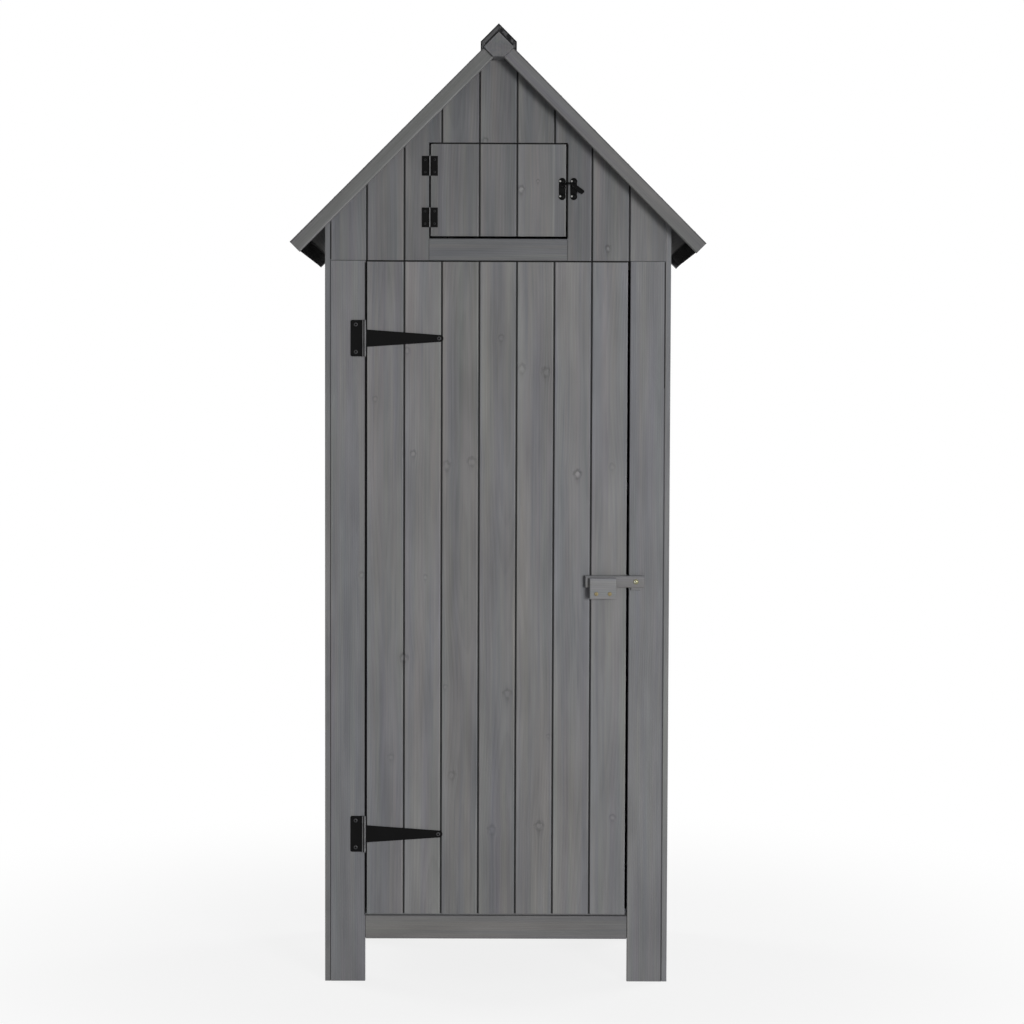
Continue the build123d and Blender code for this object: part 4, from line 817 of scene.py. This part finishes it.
def softened(node, body, material, width):
    """Copy of a CAD node with rounded edges, in its place: equal corners of its triangles are merged,
    flat stretches are joined to whole faces, and edges sharper than 30 degrees get a bevel."""
    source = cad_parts[node].data
    loops = np.empty(len(source.loops), np.int32)
    source.loops.foreach_get("vertex_index", loops)
    points, places = np.unique(np.round(cad_points(node), 6), axis=0, return_inverse=True)
    faces = places.reshape(-1)[loops].reshape(-1, 3)
    whole = np.all(faces != np.roll(faces, 1, axis=1), axis=1)
    mesh = bpy.data.meshes.new(f"{node}_rounded")
    mesh.from_pydata(points.tolist(), [], faces[whole].tolist())
    mesh.materials.append(material)
    piece = bpy.data.objects.new(f"{node}_rounded", mesh)
    bpy.context.collection.objects.link(piece)
    flat = piece.modifiers.new("whole faces", "DECIMATE")
    flat.decimate_type = "DISSOLVE"
    flat.angle_limit = math.radians(1)
    bevel = piece.modifiers.new("rounded edges", "BEVEL")
    bevel.width = width
    bevel.segments = 2
    bevel.limit_method = "ANGLE"
    bevel.angle_limit = math.radians(30)
    mesh.shade_smooth()
    piece.modifiers.new("even faces", "WEIGHTED_NORMAL")
    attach(piece, body)
    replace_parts(piece, node)


SHEET_EDGE = 0.00035
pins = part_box("hinge_pins")
hinge_axis = (pins[0] + pins[1]) / 2
hinge_iron = coated_iron("T-hinge iron", sheen=0.05, dull=0.55, axis=hinge_axis, near=0.0007, far=0.0017)
for hinge in ("lower", "upper"):
    softened(f"{hinge}_hinge_plate", "shed", hinge_iron, SHEET_EDGE)
    softened(f"{hinge}_hinge_strap", "door", hinge_iron, SHEET_EDGE)


# Hinge pins and screws: plated steel, the pins pressed into the outer knuckles, the flat heads, with
# painted shade in their cross recess and round its middle, driven down on the plates.
def clusters(node, gap):
    """Vertices of a CAD node as one array for each of its screws: they fall apart where a coordinate
    leaves a gap, first along Z and then along X."""
    groups = [cad_points(node)]
    for axis in (2, 0):
        parts = []
        for group in groups:
            group = group[np.argsort(group[:, axis])]
            parts += np.split(group, np.nonzero(np.diff(group[:, axis]) > gap)[0] + 1)
        groups = parts
    return groups


FRONT_DIRECTIONS = (X_AXIS, Z_AXIS, -Y_AXIS)
SCREW_GAP = 0.006


def screw_heads(node, body, slot, material, height, crown=4, recess=1.0, wide=1.0):
    """The screw heads of a CAD node in its place, each on its screw's axis and seated where it is, so
    many times as wide. They are flat, with a full cross recess, unless said otherwise."""
    heads = []
    for number, cluster in enumerate(clusters(node, SCREW_GAP)):
        low, high = cluster.min(axis=0), cluster.max(axis=0)
        centre = (low + high) / 2
        centre[1] = low[1] + height
        radius = wide * (high[0] - low[0]) / 2
        heads.append((centre, head_grid(radius, height, crown, recess, 0.9 * number + 0.3)))
    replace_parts(ringed_piece(f"{node}_heads", heads, FRONT_DIRECTIONS, body, material), node)


zinc = plated_steel("dark zinc", (0.16, 0.16, 0.165), dull=0.38)
worn_zinc = plated_steel("blackened zinc", (0.065, 0.065, 0.067), dull=0.38)
FLAT_HEAD = 0.0016
finish_nodes(zinc, "hinge_pins", "loft_hinge_pins")
screw_heads("hinge_plate_screws", "shed", "zinc_steel", worn_zinc, FLAT_HEAD)
screw_heads("hinge_strap_screws", "door", "zinc_steel", worn_zinc, FLAT_HEAD)


# Loft hinges and hook latch: small butt hinges of black sheet steel, two lobed black plates pressed
# out between the lobes, a swing hook with a broad lever on a riveted stud, and large black domed
# screws that hold them to the gable and the loft door. The hinges' knuckles carry a painted
# highlight line, and the domes a painted highlight spot.
def pressed_grid(half, near, far, thick, boss):
    """A pressed bar as closed loops along its length, with no recess: at the share v from -1 to 1 its
    half width is w = (near + (far - near) (1 + v) / 2) (1 - v^8)^(1/8), and round a loop it runs as
    (w sgn(cos a) |cos a|^0.4, (thick + boss cos(3 pi v)) max(sin a, 0)^0.4)."""
    share = np.linspace(-0.995, 0.995, 41)[:, None]
    loop = np.linspace(0, 2 * np.pi, 33)[:-1]
    width = (near + (far - near) * (1 + share) / 2) * (1 - share**8) ** 0.125
    across = width * np.sign(np.cos(loop)) * np.abs(np.cos(loop)) ** 0.4
    out = (thick + boss * np.cos(3 * np.pi * share)) * np.maximum(np.sin(loop), 0) ** 0.4
    grid = np.stack(np.broadcast_arrays(across, half * share, out), axis=-1)
    return grid, np.zeros(grid.shape[:2])


def plate_middle(node):
    """Middle of a latch plate on the face of the boards behind it."""
    low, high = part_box(node)
    return Vector(((low.x + high.x) / 2, high.y, (low.z + high.z) / 2))


loft_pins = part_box("loft_hinge_pins")
loft_axis = (loft_pins[0] + loft_pins[1]) / 2
loft_iron = coated_iron("butt hinge iron", sheen=0.05, dull=0.55, axis=loft_axis, near=0.0013, far=0.0006)
softened("loft_hinge_jamb_leaves", "shed", loft_iron, SHEET_EDGE)
softened("loft_hinge_door_leaves", "loft_door", loft_iron, SHEET_EDGE)
glossy_iron = coated_iron("latch iron", sheen=0.025, dull=0.3)
softened("loft_latch_plate", "shed", glossy_iron, SHEET_EDGE)
softened("loft_catch_plate", "loft_door", glossy_iron, SHEET_EDGE)
softened("loft_hook", "latch_hook", glossy_iron, SHEET_EDGE)
PRESSING = pressed_grid(half=0.0115, near=0.0063, far=0.0063, thick=0.0024, boss=0.0003)
LEVER_PIVOT = Vector((0.0030, 0, 0.0033))
LEVER_TIP = Vector((0.0176, 0, -0.0070))
for plate, body in (("loft_latch", "shed"), ("loft_catch", "loft_door")):
    pressings = [(plate_middle(f"{plate}_plate"), PRESSING)]
    ringed_piece(f"{plate}_pressing", pressings, FRONT_DIRECTIONS, body, loft_iron)
lever_span = LEVER_TIP - LEVER_PIVOT
lever_along = lever_span.normalized()
lever_middle = plate_middle("loft_latch_plate") + (LEVER_PIVOT + LEVER_TIP) / 2
lever_middle.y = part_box("loft_hook")[1].y
lever = pressed_grid(half=lever_span.length / 2, near=0.0046, far=0.0042, thick=0.0019, boss=0.0)
levers = [(lever_middle, lever)]
lever_directions = (lever_along.cross(-Y_AXIS), lever_along, -Y_AXIS)
ringed_piece("loft_hook_lever", levers, lever_directions, "latch_hook", loft_iron)
SMALL_HEAD = 0.0009
DOMED_HEAD = 0.0024
black_zinc = plated_steel("black zinc", (0.035, 0.035, 0.036), dull=0.3)
screw_heads("loft_jamb_screws", "shed", "black_iron", black_zinc, SMALL_HEAD)
screw_heads("loft_leaf_screws", "loft_door", "black_iron", black_zinc, SMALL_HEAD)
dome = {"crown": 2, "recess": 0.0, "wide": 1.6}
screw_heads("loft_latch_screws", "shed", "black_iron", glossy_iron, DOMED_HEAD, **dome)
screw_heads("loft_catch_screws", "loft_door", "black_iron", glossy_iron, DOMED_HEAD, **dome)

# Turn bar and keeper: small blocks of the same fir with rounded edges, a bar that turns on a yellow
# zinc screw over a spacer block, and a keeper of a seat and a plate with two screws. The pivot
# screw's dome has a painted highlight, and the screws' recesses painted shade.
bar_fir = stained_timber("turn bar fir", X_AXIS, Y_AXIS, 61, tone=0.93)
keeper_fir = stained_timber("keeper fir", X_AXIS, Y_AXIS, 62, tone=1.14)
BLOCK_EDGE = 0.0006
softened("turn_bar_spacer", "shed", bar_fir, BLOCK_EDGE)
softened("turn_bar", "latch_bar", bar_fir, BLOCK_EDGE)
softened("keeper_seat", "door", keeper_fir, BLOCK_EDGE)
softened("keeper_plate", "door", keeper_fir, BLOCK_EDGE)
FLAT_BRASS = (0.24, 0.20, 0.11)
PIVOT_BRASS = (0.22, 0.21, 0.13)
PIVOT_HEAD = 0.0028
dull_yellow = plated_steel("yellow zinc", FLAT_BRASS, dull=0.42)
pale_yellow = plated_steel("pale yellow zinc", PIVOT_BRASS, dull=0.25, crown=1.0)
screw_heads("keeper_screws", "door", "yellow_zinc", dull_yellow, FLAT_HEAD, recess=0.4)
screw_heads("turn_bar_screw", "shed", "yellow_zinc", pale_yellow, PIVOT_HEAD, crown=2, recess=0.25)


# Studio: a white floor that keeps the shed's shadow and fades into a white surround, a large soft
# lamp far in front on the right, two behind that light the sides and the back, and the camera at
# the picture's angle.
FLOOR_RADIUS = 14.0
FLOOR_GREY = (0.75, 0.75, 0.75, 1)
FLOOR_GLOW = 0.83
FADE_START = 0.45
FADE_END = 1.7
AMBIENT = 0.16
WHITE = (1, 1, 1, 1)


def seen_rays(tree):
    """Mask of the rays that show a surface to the camera, straight or by a mirror or glass."""
    rays = tree.nodes.new("ShaderNodeLightPath").outputs
    mirrored = calc(tree, "MAXIMUM", rays["Is Glossy Ray"], rays["Is Transmission Ray"])
    return calc(tree, "MAXIMUM", rays["Is Camera Ray"], mirrored)


circle = np.linspace(0, 2 * np.pi, 97)[:-1]
rim = FLOOR_RADIUS * np.stack([np.cos(circle), np.sin(circle), 0 * circle], axis=-1)
floor_mesh = bpy.data.meshes.new("studio_floor")
floor_mesh.from_pydata(rim.tolist(), [], [list(range(len(circle)))])
floor = bpy.data.objects.new("studio_floor", floor_mesh)
bpy.context.collection.objects.link(floor)
floor_paint, tree, shader, spot = new_material("white floor")
feed(tree, shader, {"Base Color": FLOOR_GREY, "Roughness": 0.9})
away = add(tree, "ShaderNodeVectorMath", {0: spot}, 1, operation="LENGTH")
far_off = ease(tree, away, FADE_START, FADE_END)
fade = calc(tree, "MULTIPLY_ADD", far_off, 1 - FLOOR_GLOW, FLOOR_GLOW)
glow = add(tree, "ShaderNodeEmission", {"Color": WHITE, "Strength": 1.0})
share = calc(tree, "MULTIPLY", seen_rays(tree), fade)
look = add(tree, "ShaderNodeMixShader", {0: share, 1: shader.outputs[0], 2: glow})
feed(tree, tree.nodes["Material Output"], {"Surface": look})
floor_mesh.materials.append(floor_paint)

world = bpy.data.worlds.new("studio")
bpy.context.scene.world = world
world.use_nodes = True
tree = world.node_tree
strength = calc(tree, "MULTIPLY_ADD", seen_rays(tree), 1 - AMBIENT, AMBIENT)
feed(tree, tree.nodes["Background"], {"Color": WHITE, "Strength": strength})


def soft_lamp(name, place, target, side, power):
    """Square lamp at a place that looks at a target."""
    data = bpy.data.lights.new(name, "AREA")
    data.size = side
    data.energy = power
    lamp = bpy.data.objects.new(name, data)
    lamp.location = place
    lamp.rotation_euler = (Vector(target) - Vector(place)).to_track_quat("-Z", "Y").to_euler()
    bpy.context.collection.objects.link(lamp)


soft_lamp("key lamp", (2.60, -6.1, 1.15), target=(0, 0, 0.68), side=1.6, power=310)
soft_lamp("left rear lamp", (-4.2, 2.6, 2.2), target=(0, 0, 0.9), side=1.8, power=115)
soft_lamp("right rear lamp", (4.2, 2.6, 2.2), target=(0, 0, 0.9), side=1.8, power=115)

CAMERA_PLACE = (0.0087, -4.5965, 1.096)
CAMERA_PITCH = math.radians(-2.708)
CAMERA_YAW = math.radians(0.246)
CAMERA_ROLL = math.radians(0.200)
SENSOR = 36.0
FOCAL_PIXELS = 2337.1
IMAGE_PIXELS = 1024
camera_data = bpy.data.cameras.new("camera")
camera_data.sensor_width = SENSOR
camera_data.lens = SENSOR * FOCAL_PIXELS / IMAGE_PIXELS
camera = bpy.data.objects.new("camera", camera_data)
bpy.context.collection.objects.link(camera)
aim = Matrix.Rotation(-CAMERA_YAW, 4, "Z") @ Matrix.Rotation(math.pi / 2 + CAMERA_PITCH, 4, "X")
camera.matrix_world = Matrix.Translation(CAMERA_PLACE) @ aim @ Matrix.Rotation(CAMERA_ROLL, 4, "Z")
bpy.context.scene.camera = camera
bpy.context.scene.view_settings.view_transform = "Standard"
